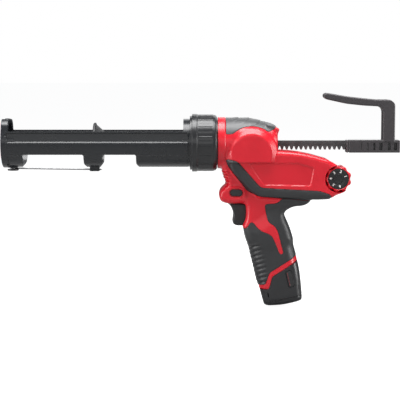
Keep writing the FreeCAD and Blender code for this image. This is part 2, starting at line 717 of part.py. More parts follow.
PINS = (192.0, 225.0)
node(own_shape("rack", rack_shape()), "rack_rod")
rod_room = box("rod_room", (-106.0, "-rod_half_width", -7.7), (232.0, "rod_half_width", "rod_top"))
piston = cut(
    "piston",
    turned("piston_turning", [
        ("piston_face", 0.0), ("piston_face", 21.6), (-113.1, "piston_radius"), (-110.9, "piston_radius"),
        (-110.0, 21.6), (-96.5, 8.4), (-92.0, 7.6), (-92.0, 0.0),
    ]),
    rod_room,
    cylinder("piston_screw_hole", 2.5, 12.0, -114.6, 0, -2.5),
    cylinder("piston_screw_sink", 5.0, 2.5, -115.0, 0, -2.5),
)
node(piston, "piston")
node(
    fused(
        "piston_screw",
        cylinder("piston_screw_shank", 2.5, 14.5, -112.5, 0, -2.5),
        cylinder("piston_screw_head", 5.0, 1.9, -114.4, 0, -2.5),
    ),
    "piston_screw",
)
HOOK = [
    (232.0, -10.0), (232.0, 45.0), (226.5, 50.0), (196.0, 51.6), (178.0, 53.6), (153.5, 57.4), (150.6, 56.6),
    (149.6, 53.6), (151.6, 50.4), (176.0, 45.2), (196.0, 42.8), (214.0, 41.8), (218.0, 38.0), (218.0, -10.0),
]
block = slab("handle_block", [
    ("block_front", "block_bottom"), ("block_front", "block_top"), ("block_back", "block_top"),
    ("block_back", "block_bottom"),
], "block_half_width")
hook = slab("handle_hook", HOOK, "hook_half_width")
rounded(hook, 2.2, lambda e: abs(e.BoundBox.YMax - e.BoundBox.YMin) < 0.01 and e.BoundBox.ZMax > 10)
recesses = []
for x in (192.6, 201.4, 209.3, 216.2, 226.7, 233.6):
    for side, low in (("left", -8.6), ("right", 7.1)):
        recesses.append(box(f"recess_{side}_{int(x)}", (x - 2.2, low, -8.2), (x + 2.2, low + 1.5, 0.4)))
handle_hook = cut("pull_handle_body", hook, box("hook_low", (210.0, -20.0, -20.0), (240.0, 20.0, 3.0)))
handle = cut(
    "pull_handle", fused("pull_handle_solid", block, handle_hook), rod_room,
    cylinder("pin_hole_front", 1.5, 30.0, PINS[0], -15, -3.5, "y"),
    cylinder("pin_hole_rear", 1.5, 30.0, PINS[1], -15, -3.5, "y"),
    *recesses,
)
node(handle, "pull_handle")
pins = [cylinder(f"pin_{int(x)}", 1.5, 14.0, x, -7, -3.5, "y") for x in PINS]
node(fused("handle_pins", *pins), "handle_pins")

# ---- Drive ----------------------------------------------------------------------------------


def gear_outline(teeth, module, backlash, start):
    """A spur gear's outline: straight-sided teeth that narrow like involutes."""
    pitch_radius = teeth * module / 2
    corners = []
    for i in range(teeth):
        middle = math.radians(start) + 2 * math.pi * i / teeth
        for radius, share in (
            (pitch_radius - 1.25 * module, -0.36), (pitch_radius - 0.5 * module, -0.30), (pitch_radius, -0.25),
            (pitch_radius + module, -0.12), (pitch_radius + module, 0.12), (pitch_radius, 0.25),
            (pitch_radius - 0.5 * module, 0.30), (pitch_radius - 1.25 * module, 0.36),
        ):
            half = share * 2 * math.pi / teeth
            angle = middle + half - math.copysign(backlash / 2 / radius, share)
            corners.append((radius * math.sin(angle), radius * math.cos(angle)))
    return corners


def gear(teeth, module, y, width, bore, backlash, start):
    """A gear round the output shaft."""
    outline = gear_outline(teeth, module, backlash, start)
    centre = (size("pinion_x"), SHAFT_Z)
    corners = [(centre[0] + x, centre[1] + z) for x, z in outline]
    blank = extruded(corners, y, width)
    return blank.cut(Part.makeCylinder(bore, width + 2, Vector(centre[0], y - 1, centre[1]), Vector(0, 1, 0)))


SHAFT_Z = size("rack_pitch_line") - size("pinion_teeth") * size("rack_module") / 2
pinion = own_shape(
    "pinion", gear(int(size("pinion_teeth")), size("rack_module"), -4.5, 9.0, size("shaft_radius"), 0.24, 0.0)
)
node(pinion, "rack_pinion")
wheel = own_shape(
    "wheel",
    gear(int(size("wheel_teeth")), size("wheel_module"), size("wheel_y") - size("wheel_width") / 2,
         size("wheel_width"), size("shaft_radius"), 0.5, 180.0 / size("wheel_teeth")),
)
node(wheel, "worm_wheel")
node(cylinder("shaft", "shaft_radius", 35.0, "pinion_x", -20.8, SHAFT_Z, "y"), "output_shaft")


def worm_shape():
    """The worm's shaft with its thread as a swept ridge."""
    module = size("wheel_module")
    lead = math.pi * module
    pitch_radius = size("worm_radius")
    y = size("wheel_y")
    root = pitch_radius - 1.2 * module
    core = Part.makeCylinder(root, 28.0, Vector(51.0, y, MOTOR_Z), Vector(1, 0, 0))
    shaft = Part.makeCylinder(3.0, 42.0, Vector(45.0, y, MOTOR_Z), Vector(1, 0, 0))
    helix = Part.makeHelix(lead, lead * 6, root - 0.1)
    inner = lead / 4 + 0.42 * module - 0.16
    outer = lead / 4 - 0.36 * module - 0.16
    tip = pitch_radius + module
    section = Part.makePolygon([
        Vector(root - 0.1, 0, -inner), Vector(tip, 0, -outer), Vector(tip, 0, outer), Vector(root - 0.1, 0, inner),
        Vector(root - 0.1, 0, -inner),
    ])
    ridge = Part.Wire(helix.Edges).makePipeShell([section], True, True)
    ridge.rotate(Vector(0, 0, 0), Vector(0, 1, 0), 90)
    ridge.translate(Vector(size("pinion_x") - 4.5 * lead, y, MOTOR_Z))
    return core.fuse([shaft, ridge])


node(own_shape("worm_solid", worm_shape()), "worm")

# ---- Dial, trigger and lock button ----------------------------------------------------------


def dial_shape():
    """Two lobed wheels on one shaft, one at each side of the housing's tongue."""
    lobes = int(size("dial_lobes"))
    corners = []
    steps = 6
    tip, valley = size("dial_radius"), size("dial_valley")
    for i in range(lobes * steps):
        angle = math.radians(20.5) + 2 * math.pi * i / (lobes * steps)
        wave = 0.5 + 0.5 * math.cos(2 * math.pi * i / steps)
        radius = valley + (tip - valley) * wave
        corners.append((size("dial_x") + radius * math.cos(angle), size("dial_z") + radius * math.sin(angle)))
    half = size("dial_half_width")
    inner = size("tongue_half_width") + 0.6
    shape = extruded(corners, -half, half - inner).fuse(extruded(corners, inner, half - inner))
    centre = Vector(size("dial_x"), -half, size("dial_z"))
    shaft = Part.makeCylinder(3.0, 2 * half, centre, Vector(0, 1, 0))
    seats = [
        Part.makeCylinder(size("dial_face_radius"), 2.0, Vector(centre.x, y, centre.z), Vector(0, 1, 0))
        for y in (-half, half - 2.0)
    ]
    return shape.fuse(shaft).cut(seats)


node(own_shape("dial", dial_shape()), "dial_wheel")
for side, y in (("left", "-dial_half_width"), ("right", "dial_half_width - 2")):
    node(cylinder(f"dial_disc_{side}", "dial_face_radius", 2.0, "dial_x", y, "dial_z", "y"), f"dial_face_{side}")

TRIGGER = [
    (39.8, -71.4), (44.8, -75.3), (46.7, -82.0), (45.4, -90.0), (48.0, -95.4), (57.4, -96.1), (65.0, -96.1),
    (65.0, -71.4),
]
trigger = slab("trigger_body", TRIGGER, 8.5)
rounded(trigger, 2.0, lambda e: abs(e.BoundBox.YMax - e.BoundBox.YMin) < 0.01 and e.BoundBox.XMax < 58)
node(trigger, "trigger")


def coil(radius, wire_size, length, turns, start):
    """A spring along X."""
    helix = Part.makeHelix(length / turns, length, radius)
    section = Part.Wire(Part.makeCircle(wire_size, Vector(radius, 0, 0), Vector(0, 1, 0)).Edges)
    spring = Part.Wire(helix.Edges).makePipeShell([section], True, True)
    spring.rotate(Vector(0, 0, 0), Vector(0, 1, 0), 90)
    spring.translate(Vector(*start))
    return spring


node(own_shape("spring", coil(3.2, 0.35, 7.4, 5, (65.6, 0, -81.0))), "trigger_spring")
node(slab("lock", pill, 22.5), "lock_button")

# ---- Battery --------------------------------------------------------------------------------

BATTERY = [
    (140.0, -128.4), (120.6, -137.0), (92.2, -155.7), (88.5, -170.4), (78.1, -170.4), (74.0, -170.4),
    (82.4, -187.2), (86.0, -188.6), (105.6, -186.4), (124.0, -181.8), (126.0, -179.2), (128.0, -150.0),
]
tower_outside = raked_column("tower_outside", -17.0, 21.0, -80.0, size("tower_top"), "tower_half_width", 9.5)
tower_inside = raked_column(
    "tower_inside", -15.9, 19.9, -84.0, size("tower_top") - 1.2, number("tower_half_width") - 1.1, 8.4
)
base_solid = common(
    "base_solid",
    raked_column("base_outside", -22.3, 26.8, -97.5, -48.0, "battery_half_width", 12.0),
    slab("battery_region", BATTERY, 40.0),
)
latch_room = leaned_box("latch_room", (10.6, -30.0, -78.8), (17.4, 30.0, -59.8))
latch_core = leaned_box("latch_core", (0.0, -20.9, -90.0), (25.0, 20.9, -50.0))
latch_pockets = cut("latch_pockets", latch_room, latch_core)
base = cut("battery_base_cut", base_solid, tower_inside, latch_pockets, tower_outside)
node(base, "battery_base")
terminals = [
    leaned_box(f"terminal_{i}", (6.0, y - 0.6, -9.2), (11.0, y + 0.6, -5.2))
    for i, y in enumerate((-5.5, 0.0, 5.5))
]
node(cut("battery_tower_cut", tower_outside, tower_inside, *terminals), "battery_tower")
node(fused("battery_terminal_group", *terminals), "battery_terminals")
cells_18 = []
for i, (x, y) in enumerate(((-6.2, -9.2), (-6.2, 9.2), (10.0, 0.0))):
    cx, cz = leaned(x, -78.0)
    cell = cylinder(f"cell_{i}", 9.1, 65.0, cx, y, cz)
    cell.Placement = Placement(Vector(cx, y, cz), Rotation(Vector(0, 1, 0), -size("rake")))
    cells_18.append(cell)
node(fused("battery_cell_group", *cells_18), "battery_cells")
for side, low in (("left", -24.2), ("right", 22.7)):
    node(leaned_box(f"latch_{side}_button", (11.0, low, -78.4), (17.0, low + 1.5, -60.2)), f"latch_{side}")

# ---- Check and write ------------------------------------------------------------------------

doc.recompute()
for piece in doc.Objects:
    if "Invalid" in piece.State or "Error" in piece.State:
        raise RuntimeError(f"{piece.Label} did not recompute: {piece.State}")
for piece in NODES:
    if piece.Shape.isNull() or not piece.Shape.isValid() or not piece.Shape.Solids:
        raise RuntimeError(f"{piece.Label} is not a sound solid")

os.makedirs("parts", exist_ok=True)
for piece in NODES:
    piece.Shape.exportStep(f"parts/{piece.Label}.step")
print(len(NODES), "pieces written")
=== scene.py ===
"""Looks for the battery caulking gun: its moulded shells, rubber skins, carriage, collar, handle and dial.

Lengths inside this file are millimetres in the model's frame, with +X to the rear, +Z up and -Y the left side.
They become metres when a surface is put into a mesh.
"""

import math

import bmesh
import bpy
import numpy as np
from mathutils import Matrix, Vector


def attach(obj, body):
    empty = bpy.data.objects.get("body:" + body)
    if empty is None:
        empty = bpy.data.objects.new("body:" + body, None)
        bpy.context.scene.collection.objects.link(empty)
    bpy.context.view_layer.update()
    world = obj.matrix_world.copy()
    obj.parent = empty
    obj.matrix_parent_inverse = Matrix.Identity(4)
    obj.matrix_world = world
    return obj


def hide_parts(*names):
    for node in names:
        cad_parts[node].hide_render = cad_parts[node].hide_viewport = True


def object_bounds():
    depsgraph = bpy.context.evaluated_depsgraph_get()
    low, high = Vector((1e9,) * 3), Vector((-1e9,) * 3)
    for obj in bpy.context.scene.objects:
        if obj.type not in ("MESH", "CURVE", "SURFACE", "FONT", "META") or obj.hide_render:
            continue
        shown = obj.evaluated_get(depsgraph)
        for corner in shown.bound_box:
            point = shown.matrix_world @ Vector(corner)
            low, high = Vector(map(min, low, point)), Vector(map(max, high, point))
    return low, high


bl_info = {
    "name": "Battery caulking gun",
    "version": (1, 0, 0),
    "blender": (4, 5, 0),
    "location": "View3D > Sidebar > Caulking gun",
    "description": "Builds the gun's visible surfaces round its packed frame",
    "category": "Object",
}

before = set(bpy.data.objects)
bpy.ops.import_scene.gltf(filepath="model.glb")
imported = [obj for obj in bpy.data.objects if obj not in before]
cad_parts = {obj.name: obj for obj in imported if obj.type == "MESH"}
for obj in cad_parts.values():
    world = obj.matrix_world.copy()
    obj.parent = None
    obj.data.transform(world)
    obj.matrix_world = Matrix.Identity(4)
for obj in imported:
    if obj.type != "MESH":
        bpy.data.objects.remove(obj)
cad_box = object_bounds()

# ---- Outlines in the side view, as (x, z) ---------------------------------------------------

ARM = [
    (40, -14), (60, -9.0), (99.3, -8.6), (112, -9.4), (124, -10.9), (138, -13.8), (147, -16.5), (155, -18.6),
    (160, -22.4), (166, -24.6), (167, -40.5), (177, -53.2), (171, -56.6), (164, -58.8), (160.5, -61.4),
    (156, -63.0), (139, -63.7), (75, -62.4), (44, -33),
]
NECK = [
    (30, -14), (34.0, -31.6), (36.6, -39), (39.4, -46.2), (36.0, -49.8), (31.9, -54.2), (30.4, -60), (32.1, -66.4),
    (38.7, -68.2), (50, -68.4), (60.6, -69.2), (61.4, -80), (60.4, -88), (57.8, -93.4), (57.2, -95.6), (60.6, -99.6),
    (61.9, -106), (64, -113), (84, -120), (113.5, -112),
    (109.4, -97.5), (104.6, -87), (103.6, -81.5), (107.2, -76.4), (114.8, -72.4), (127.2, -71.4), (133, -68.2),
    (137.5, -62), (120, -50), (70, -40), (60, -14),
]
GRIP = [
    (61.4, -98), (61.6, -104.6), (63.8, -112.2), (66.1, -125.5), (68.4, -134.8), (70.8, -144), (73.1, -154.5),
    (75.4, -162.6), (79.9, -178.9), (82.6, -188.2), (104, -187.0), (125.4, -182.0), (126.4, -177), (124.6, -158),
    (123.2, -147), (121.3, -137.9), (118.7, -127.3), (114.6, -112.6), (109.4, -98), (103.5, -84), (90, -78),
]
HORN = [(84, 21.6), (91, 20.4), (95.4, 17.6), (98.6, 16.9), (98.9, 15.2), (97.4, 11.4), (90, 8), (84, 10)]
RIM = [(150, -115.2), (120.6, -134.3), (91.2, -152.8), (87.2, -167.6), (50.0, -167.9), (50.0, -230.0), (150, -230.0)]
PAD = [(37.6, 40.0), (37.6, 10.6)] + [
    (67 + 31.6 * math.cos(math.radians(a)), -12 + 31.6 * math.sin(math.radians(a))) for a in range(133, 50, -9)
] + [(91.5, 15.4), (96.2, 19.2), (96.8, 40.0)]
TRIM = [
    (36.5, -17.2), (50.2, -19.2), (77.5, -50.0), (145.3, -54.0), (158.6, -58.6), (158.0, -70.0),
    (137.0, -66.0), (74.9, -60.1), (62.0, -54.0), (40.5, -26.6),
]
RUBBER = [
    (56.0, -97.5), (61.4, -97.5), (65.6, -90.4), (69.0, -90.2), (73.2, -95.6), (78.5, -100.2), (87.2, -103.4),
    (91.6, -107.0), (95.8, -117.5), (99.9, -127.4), (103.9, -126.0), (96.9, -99.6), (93.4, -94.2), (86.2, -89.9),
    (83.2, -77.8), (82.0, -69.3), (95.4, -68.5), (100.5, -64.8), (104.6, -60.0), (141.0, -60.0), (142.0, -80.0),
    (140.0, -117.5), (118.0, -129.6), (87.9, -148.6), (83.4, -162.3), (76.5, -163.4), (56.0, -163.4),
]
PANEL = [(62.5, -21.5), (80.2, -47.0), (134.5, -48.6), (138.5, -27.5), (120, -21.5)]
LOCK = [(46.25, -56.3), (52.95, -56.3)]
CHANNEL = [(84.9, -11.5), (84.9, 3.7), (96.5, 3.9), (96.5, 20.0), (133.0, 20.0), (133.0, -11.5)]
SCREWS = [(36.6, -60.0, 14.0), (128.0, -17.1, 20.0), (119.0, -66.0, 16.0), (97.0, -80.0, 16.0)]

NOSE = [
    (30.6, -60), (32.6, -53.4), (38, -49.6), (52, -48.6), (60, -52), (63, -60), (58, -66), (50, -68.2),
    (38.7, -68.2), (32.2, -64.6),
]
TRIGGER = [
    (38.9, -68.9), (43.0, -72.0), (45.3, -76.9), (46.6, -81.3), (46.2, -85.8), (45.3, -90.1), (46.4, -93.4),
    (49.2, -95.2), (53.0, -95.7), (57.5, -95.3), (65.0, -95.0), (65.0, -68.9),
]
HOOK = [
    (231.9, -10.0), (231.9, 45.2), (226.4, 49.9), (210, 50.0), (196.0, 51.4), (178.0, 53.4), (156, 57.2), (152, 57.6),
    (149.7, 55.4), (150.0, 52.4), (153.4, 50.0), (176.0, 45.0), (196.0, 42.9), (212.0, 42.1), (216.0, 41.0),
    (218.1, 37.0), (218.1, -10.0),
]
# Each pocket of the pull handle: its middle, half its length and its depth.
SLOTS = (
    (193.6, 0.6, 0.8), (201.0, 0.7, 1.2), (208.4, 1.2, 3.9), (215.8, 1.9, 3.9), (225.5, 1.6, 3.9),
    (232.7, 1.8, 3.5),
)
# Each window under the carriage: its middle and half its length.
WINDOWS = ((-159.5, 34.7), (-84.4, 19.5))

WALL = 2.4
INLAY_DEPTH = 1.15
BED_DEPTH = 1.2
PARTING_GAP = 0.06
CRADLE_BORE = 25.4
PIVOT_X, PIVOT_HOLE = -208.0, 1.65
DIAL_X, DIAL_Z = 166.4, -40.5
RAKE = math.radians(13.0)


def softened(points, reach, steps=5):
    """Each corner becomes a parabola from a point on the side before it to one on the side after it.

    Both points lie at the reach from the corner, or at 0.45 of the side where that is shorter.
    """
    here = np.asarray(points, float)
    before = np.roll(here, 1, axis=0) - here
    after = np.roll(here, -1, axis=0) - here
    long_before = np.linalg.norm(before, axis=1, keepdims=True)
    long_after = np.linalg.norm(after, axis=1, keepdims=True)
    start = here + before / long_before * np.minimum(reach, 0.45 * long_before)
    end = here + after / long_after * np.minimum(reach, 0.45 * long_after)
    t = np.linspace(0, 1, steps)[None, :, None]
    curve = start[:, None] * (1 - t) ** 2 + 2 * here[:, None] * t * (1 - t) + end[:, None] * t**2
    return curve.reshape(-1, 2)


def outline_distance(x, z, points):
    """Distance to the nearest side of a closed outline, negative inside it.

    A point is inside where a ray from it crosses the outline an odd number of times.
    """
    nearest = np.full(np.broadcast(x, z).shape, 1e9)
    odd = np.zeros(nearest.shape, bool)
    for (ax, az), (bx, bz) in zip(points, np.roll(points, -1, axis=0)):
        ex, ez = bx - ax, bz - az
        share = np.clip(((x - ax) * ex + (z - az) * ez) / (ex * ex + ez * ez + 1e-12), 0, 1)
        nearest = np.minimum(nearest, (x - ax - share * ex) ** 2 + (z - az - share * ez) ** 2)
        if az != bz:
            odd ^= ((az > z) != (bz > z)) & (x < ax + (z - az) * ex / ez)
    return np.sqrt(nearest) * np.where(odd, -1.0, 1.0)


class Plan:
    """The distance from an outline, kept on a grid of 0.4 mm and read between its points in proportion."""

    def __init__(self, points, reach=0.0, steps=5, pitch=0.4):
        points = softened(points, reach, steps) if reach else np.asarray(points, float)
        self.low = points.min(0) - 9.0
        self.pitch = pitch
        self.xs = np.arange(self.low[0], points[:, 0].max() + 9.0, pitch)
        self.zs = np.arange(self.low[1], points[:, 1].max() + 9.0, pitch)
        self.table = outline_distance(self.xs[:, None], self.zs[None, :], points)

    def __call__(self, x, z):
        u = (x - self.low[0]) / self.pitch
        v = (z - self.low[1]) / self.pitch
        cu = np.clip(u, 0, len(self.xs) - 1.001)
        cv = np.clip(v, 0, len(self.zs) - 1.001)
        i, j = cu.astype(int), cv.astype(int)
        fu, fv = cu - i, cv - j
        i, j = np.broadcast_arrays(i, j)
        flat = self.table
        mixed = (flat[i, j] * (1 - fu) + flat[i + 1, j] * fu) * (1 - fv)
        mixed = mixed + (flat[i, j + 1] * (1 - fu) + flat[i + 1, j + 1] * fu) * fv
        return mixed + np.hypot(u - cu, v - cv) * self.pitch


# ---- Ways to put distances together ---------------------------------------------------------


def join(a, b, blend):
    """Union of two solids, with a fillet about as wide as the blend between them."""
    share = np.clip(0.5 + 0.5 * (b - a) / blend, 0, 1)
    return b + (a - b) * share - blend * share * (1 - share)


def meet(a, b, blend):
    """What two solids share, with its edge rounded over the blend."""
    return -join(-a, -b, blend)


def less(a, b, blend=0.4):
    """The first solid without the second, with the new edge rounded over the blend."""
    return meet(a, -b, blend)


def corner(a, b, radius):
    """What two solids share, with its edge a true arc of the radius."""
    p, q = a + radius, b + radius
    return np.minimum(np.maximum(p, q), 0) + np.hypot(np.maximum(p, 0), np.maximum(q, 0)) - radius


def slab(flat, y, half, radius):
    """An outline's distance carried sideways to both sides, with its rims rounded."""
    return corner(flat, abs(y) - half, radius)


def block(p, low, high, radius=0.5):
    """A box between two corners with rounded edges: the distance outside it, or the least depth inside."""
    q = [abs(v - (a + b) / 2) - (b - a) / 2 + radius for v, a, b in zip(p, low, high)]
    outside = np.sqrt(sum(np.maximum(v, 0) ** 2 for v in q))
    return outside + np.minimum(np.maximum(np.maximum(q[0], q[1]), q[2]), 0) - radius


def step(value, start, end):
    """A smooth rise from 0 at the start to 1 at the end."""
    t = np.clip((value - start) / (end - start), 0, 1)
    return t * t * (3 - 2 * t)


# ---- From a distance to a mesh --------------------------------------------------------------


def contour(field, low, high, pitch):
    """The surface where a distance is nought, as points and four-sided faces.

    A cell of the grid that the surface crosses gets one point: the one nearest to all the planes that touch the
    surface where it crosses the cell's edges, found by least squares and held near their mean, which keeps sharp
    edges sharp. Each crossed edge gives a face between the four cells round it.
    """
    axes = [np.arange(a, b + pitch, pitch) for a, b in zip(low, high)]
    grid = np.meshgrid(*axes, indexing="ij", sparse=True)
    shape = np.array([len(a) for a in axes])
    value = np.broadcast_to(field(*grid), shape)
    inside = value < 0
    origin = np.array(low, float)
    cells, points = [], []
    for axis in range(3):
        one = np.eye(3, dtype=int)[axis]
        first = inside[tuple(slice(0, n - s) for n, s in zip(shape, one))]
        second = inside[tuple(slice(s, n) for n, s in zip(shape, one))]
        index = np.argwhere(first != second)
        b, c = (axis + 1) % 3, (axis + 2) % 3
        within = [(index[:, k] > 0) & (index[:, k] < shape[k] - 1) for k in (b, c)]
        index = index[within[0] & within[1]]
        va = value[tuple(index.T)]
        vb = value[tuple((index + one).T)]
        near, far = np.zeros(len(va)), np.ones(len(va))
        t = va / (va - vb)
        for _ in range(3):
            spot = origin + pitch * (index + t[:, None] * one)
            vt = field(*spot.T)
            same = (vt < 0) == (va < 0)
            near, va = np.where(same, t, near), np.where(same, vt, va)
            far, vb = np.where(same, far, t), np.where(same, vb, vt)
            t = near + (far - near) * np.clip(va / (va - vb + 1e-12), 0.05, 0.95)
        points.append(origin + pitch * (index + t[:, None] * one))
        back, side = np.eye(3, dtype=int)[[b, c]]
        ring = np.stack([index, index - back, index - back - side, index - side], axis=1)
        outward = inside[tuple(index.T)]
        ring = np.where(outward[:, None, None], ring, ring[:, ::-1])
        cells.append(ring)
    points = np.concatenate(points)
    ring = np.concatenate(cells)
    eps = 0.12 * pitch
    normal = np.stack([
        field(*(points + eps * e).T) - field(*(points - eps * e).T) for e in np.eye(3)
    ], axis=1)
    normal /= np.linalg.norm(normal, axis=1, keepdims=True) + 1e-12
    name = (ring[..., 0] * shape[1] + ring[..., 1]) * shape[2] + ring[..., 2]
    names, where = np.unique(name.ravel(), return_inverse=True)
    where = where.reshape(name.shape)
    count = len(names)

    def gathered(weight):
        return np.bincount(where.ravel(), np.repeat(weight, 4), count)

    total = gathered(np.ones(len(points)))
    mean = np.stack([gathered(points[:, k]) / total for k in range(3)], axis=1)
    matrix = np.zeros((count, 3, 3))
    for i in range(3):
        for j in range(3):
            matrix[:, i, j] = gathered(normal[:, i] * normal[:, j])
    along = (normal * points).sum(1)
    right = np.stack([gathered(normal[:, k] * along) for k in range(3)], axis=1)
    right -= np.einsum("nij,nj->ni", matrix, mean)
    matrix += np.eye(3) * 0.04 * total[:, None, None]
    shift = np.linalg.solve(matrix, right[..., None])[..., 0]
    corner_of = np.stack([names // (shape[1] * shape[2]), names // shape[2] % shape[1], names % shape[2]], axis=1)
    lowest = origin + pitch * corner_of
    return np.clip(mean + shift, lowest, lowest + pitch), where


def put(name, points, faces, material, body, replaces=(), slot=None, sharp=32.0, flip_y=False, weld=False):
    """Makes a mesh object in metres, shades it smooth but for its sharp edges, and hangs it on a body.

    Welding merges points that meet, such as the ring of points at a pole.
    """
    points = np.array(points, float) * 0.001
    faces = np.asarray(faces)
    if flip_y:
        points[:, 1] *= -1
        faces = faces[:, ::-1]
    mesh = bpy.data.meshes.new(name)
    mesh.vertices.add(len(points))
    mesh.vertices.foreach_set("co", points.ravel())
    mesh.loops.add(faces.size)
    mesh.loops.foreach_set("vertex_index", faces.ravel())
    mesh.polygons.add(len(faces))
    mesh.polygons.foreach_set("loop_start", np.arange(len(faces)) * faces.shape[1])
    mesh.update(calc_edges=True)
    if weld:
        welded = bmesh.new()
        welded.from_mesh(mesh)
        bmesh.ops.remove_doubles(welded, verts=welded.verts, dist=1e-7)
        welded.to_mesh(mesh)
        welded.free()
    mesh.validate()
    mesh.shade_smooth()
    mesh.set_sharp_from_angle(angle=math.radians(sharp))
    piece = bpy.data.objects.new(name, mesh)
    bpy.context.scene.collection.objects.link(piece)
    mesh.materials.append(material)
    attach(piece, body)
    if replaces:
        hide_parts(*replaces)


def grid_faces(rows, columns, closed_rows=False, closed_columns=True):
    """Four-sided faces of a grid of points counted row by row."""
    i = np.arange(rows if closed_rows else rows - 1)[:, None]
    j = np.arange(columns if closed_columns else columns - 1)[None, :]
    k, m = (i + 1) % rows, (j + 1) % columns
    corners = np.broadcast_arrays(i * columns + j, k * columns + j, k * columns + m, i * columns + m)
    return np.stack(corners, -1).reshape(-1, 4)


# ---- The housing's outside as one distance --------------------------------------------------

arm_plan = Plan(ARM, 5.0)
neck_plan = Plan(NECK, 5.0)
grip_plan = Plan(GRIP, 7.0)
nose_plan = Plan(NOSE, 4.0)
horn_plan = Plan(HORN, 1.2)
rim_plan = Plan(RIM, 2.0)
pad_plan = Plan(PAD, 2.5)
trim_plan = Plan(TRIM, 4.0)
rubber_plan = Plan(RUBBER, 3.2)
panel_plan = Plan(PANEL, 3.0)
channel_plan = Plan(CHANNEL)
trigger_plan = Plan(TRIGGER, 2.0)
hook_plan = Plan(HOOK, 3.0)


def pill(x, z, grow=0.0):
    """Distance from the lock button's outline: a short line with a radius round it."""
    near = np.clip(x, LOCK[0][0], LOCK[1][0])
    return np.hypot(x - near, z - LOCK[0][1]) - 3.65 - grow


def from_dial(x, z):
    """Distance from the dial's axis."""
    return np.hypot(x - DIAL_X, z - DIAL_Z)


def trigger_opening(x, y, z):
    """The opening in the front of the neck that the trigger moves in."""
    return block((x, y, z), (30.0, -8.9, -96.6), (74.0, 8.9, -68.5), 0.4)


def on_grip(x, z):
    """The grip's own axes: forwards of its middle, and up along it."""
    u = (x - 82.5) * math.cos(RAKE) + (z + 91.0) * math.sin(RAKE)
    v = -(x - 82.5) * math.sin(RAKE) + (z + 91.0) * math.cos(RAKE)
    return u, v


def hull(x, y, z):
    """The housing's outside: a tapering barrel, a side dome, the motor arm, the neck, its nose and the grip."""
    radius = np.interp(
        x, [28, 36.3, 37.0, 50, 66, 73, 82, 92, 95, 97], [29.5, 29.5, 28.9, 28.8, 28.2, 26.5, 24.2, 21.4, 19.6, 17.6]
    )
    head = corner(np.hypot(y, z) - radius, np.maximum(28.4 - x, x - 97.0), 1.0)
    head = join(head, slab(horn_plan(x, z), y, 15.0, 1.5), 2.0)
    radial = np.hypot(x - 67.0, z + 12.0)
    past = np.maximum(radial - 21.4, 0)
    bend = np.minimum(past, 2.8)
    dome = corner(radial - 30.0, abs(y) - 30.0 + 0.16 * bend**2 + 0.9 * (past - bend), 1.5)
    dome = meet(dome, -21.3 - z, 1.0)
    half = 26.3 - 2.6 * step(x, 80.0, 150.0)
    arm = slab(arm_plan(x, z), y, half, 5.0) + 0.9 * step(-panel_plan(x, z), -0.3, 1.1)
    wave = 1.3 * np.cos((z + 32.5) * 2 * math.pi / 3.5)
    serration = wave * step(43.0 - x, 0, 4) * step(z, -48, -46) * step(-z, 31, 33)
    neck = slab(neck_plan(x, z), y, 20.6, 6.5) - np.maximum(serration, -0.3)
    nose = slab(nose_plan(x, z), y, 22.4, 4.5)
    grip = slab(grip_plan(x, z), y, 22.4, 15.0)
    lower = join(join(neck, grip, 9.0), nose, 3.0)
    return join(join(join(head, dome, 2.0), arm, 1.2), lower, 3.0)


def housing_half(x, y, z, screws=False):
    """The shell 2.4 mm thick, with its inlays let in, its openings cut and its parting edge eased."""
    skin = hull(x, y, z)
    dial = from_dial(x, z)
    side = abs(y)
    liner = block((x, y, z), (85.0, -11.6, -13.9), (96.4, 11.6, 5.7), 0.1)
    floor = block((x, y, z), (84.0, -12.0, -13.9), (132.0, 12.0, -11.5), 0.1)
    kept = np.minimum(np.minimum(dial - 18.1, pill(x, z, 3.4)), np.minimum(liner, floor))
    room = np.maximum(skin + WALL, -kept)
    shell = np.maximum(skin, -room)
    for plan in (pad_plan, trim_plan, rubber_plan):
        shell = less(shell, np.maximum(plan(x, z) - 0.12, -(skin + BED_DEPTH)), 0.3)
    shell = less(shell, rim_plan(x, z), 0.5)
    shell = less(shell, trigger_opening(x, y, z), 0.5)
    shell = less(shell, pill(x, z, 0.35), 0.3)
    shell = less(shell, np.maximum(pill(x, z, 1.7), 20.6 - side), 0.6)
    shell = less(shell, np.maximum(dial - 15.5, 5.3 - side), 0.5)
    shell = less(shell, dial - 3.1, 0.1)
    tongue = np.maximum(np.minimum(dial - 7.5, block((x, y, z), (148, -6, -48), (166, 6, -33), 0.5)), side - 5.0)
    shell = np.minimum(shell, np.maximum(tongue, 3.1 - dial))
    shell = less(shell, np.maximum(np.hypot(y, z) - 26.1, x - 31.5), 0.4)
    shell = less(shell, np.maximum(channel_plan(x, z), side - 9.2), 0.6)
    if screws:
        for sx, sz, sy in SCREWS:
            shell = less(shell, np.maximum(np.hypot(x - sx, z - sz) - 3.4, sy - side), 0.5)
    return meet(shell, y + PARTING_GAP, 0.5)


def inlay(plan, x, y, z, surface):
    """A skin 1.15 mm deep let into the housing inside an outline, with its rim eased and its parting edge eased."""
    skin = hull(x, y, z)
    shape = np.maximum(meet(surface(x, y, z, skin), plan(x, z) + 0.12, 0.8), -(skin + INLAY_DEPTH))
    return meet(shape, y + PARTING_GAP, 0.5)


def pad_surface(x, y, z, skin):
    """The pad stands 0.3 mm proud and rises along the barrel in shallow steps that end sharply."""
    phase = (x - 40.5 + 0.02 * y * y) / 12.6
    ramp = phase - np.floor(phase)
    wave = ramp * (1 - step(ramp, 0.86, 1.0))
    return skin - 0.3 - 0.8 * wave * step(x, 44, 50) * step(z, 19, 26)


def trim_surface(x, y, z, skin):
    """The stripe is crowned: highest, 0.75 mm proud, along its middle."""
    return skin - 0.75 * step(-trim_plan(x, z), 0.0, 3.0)


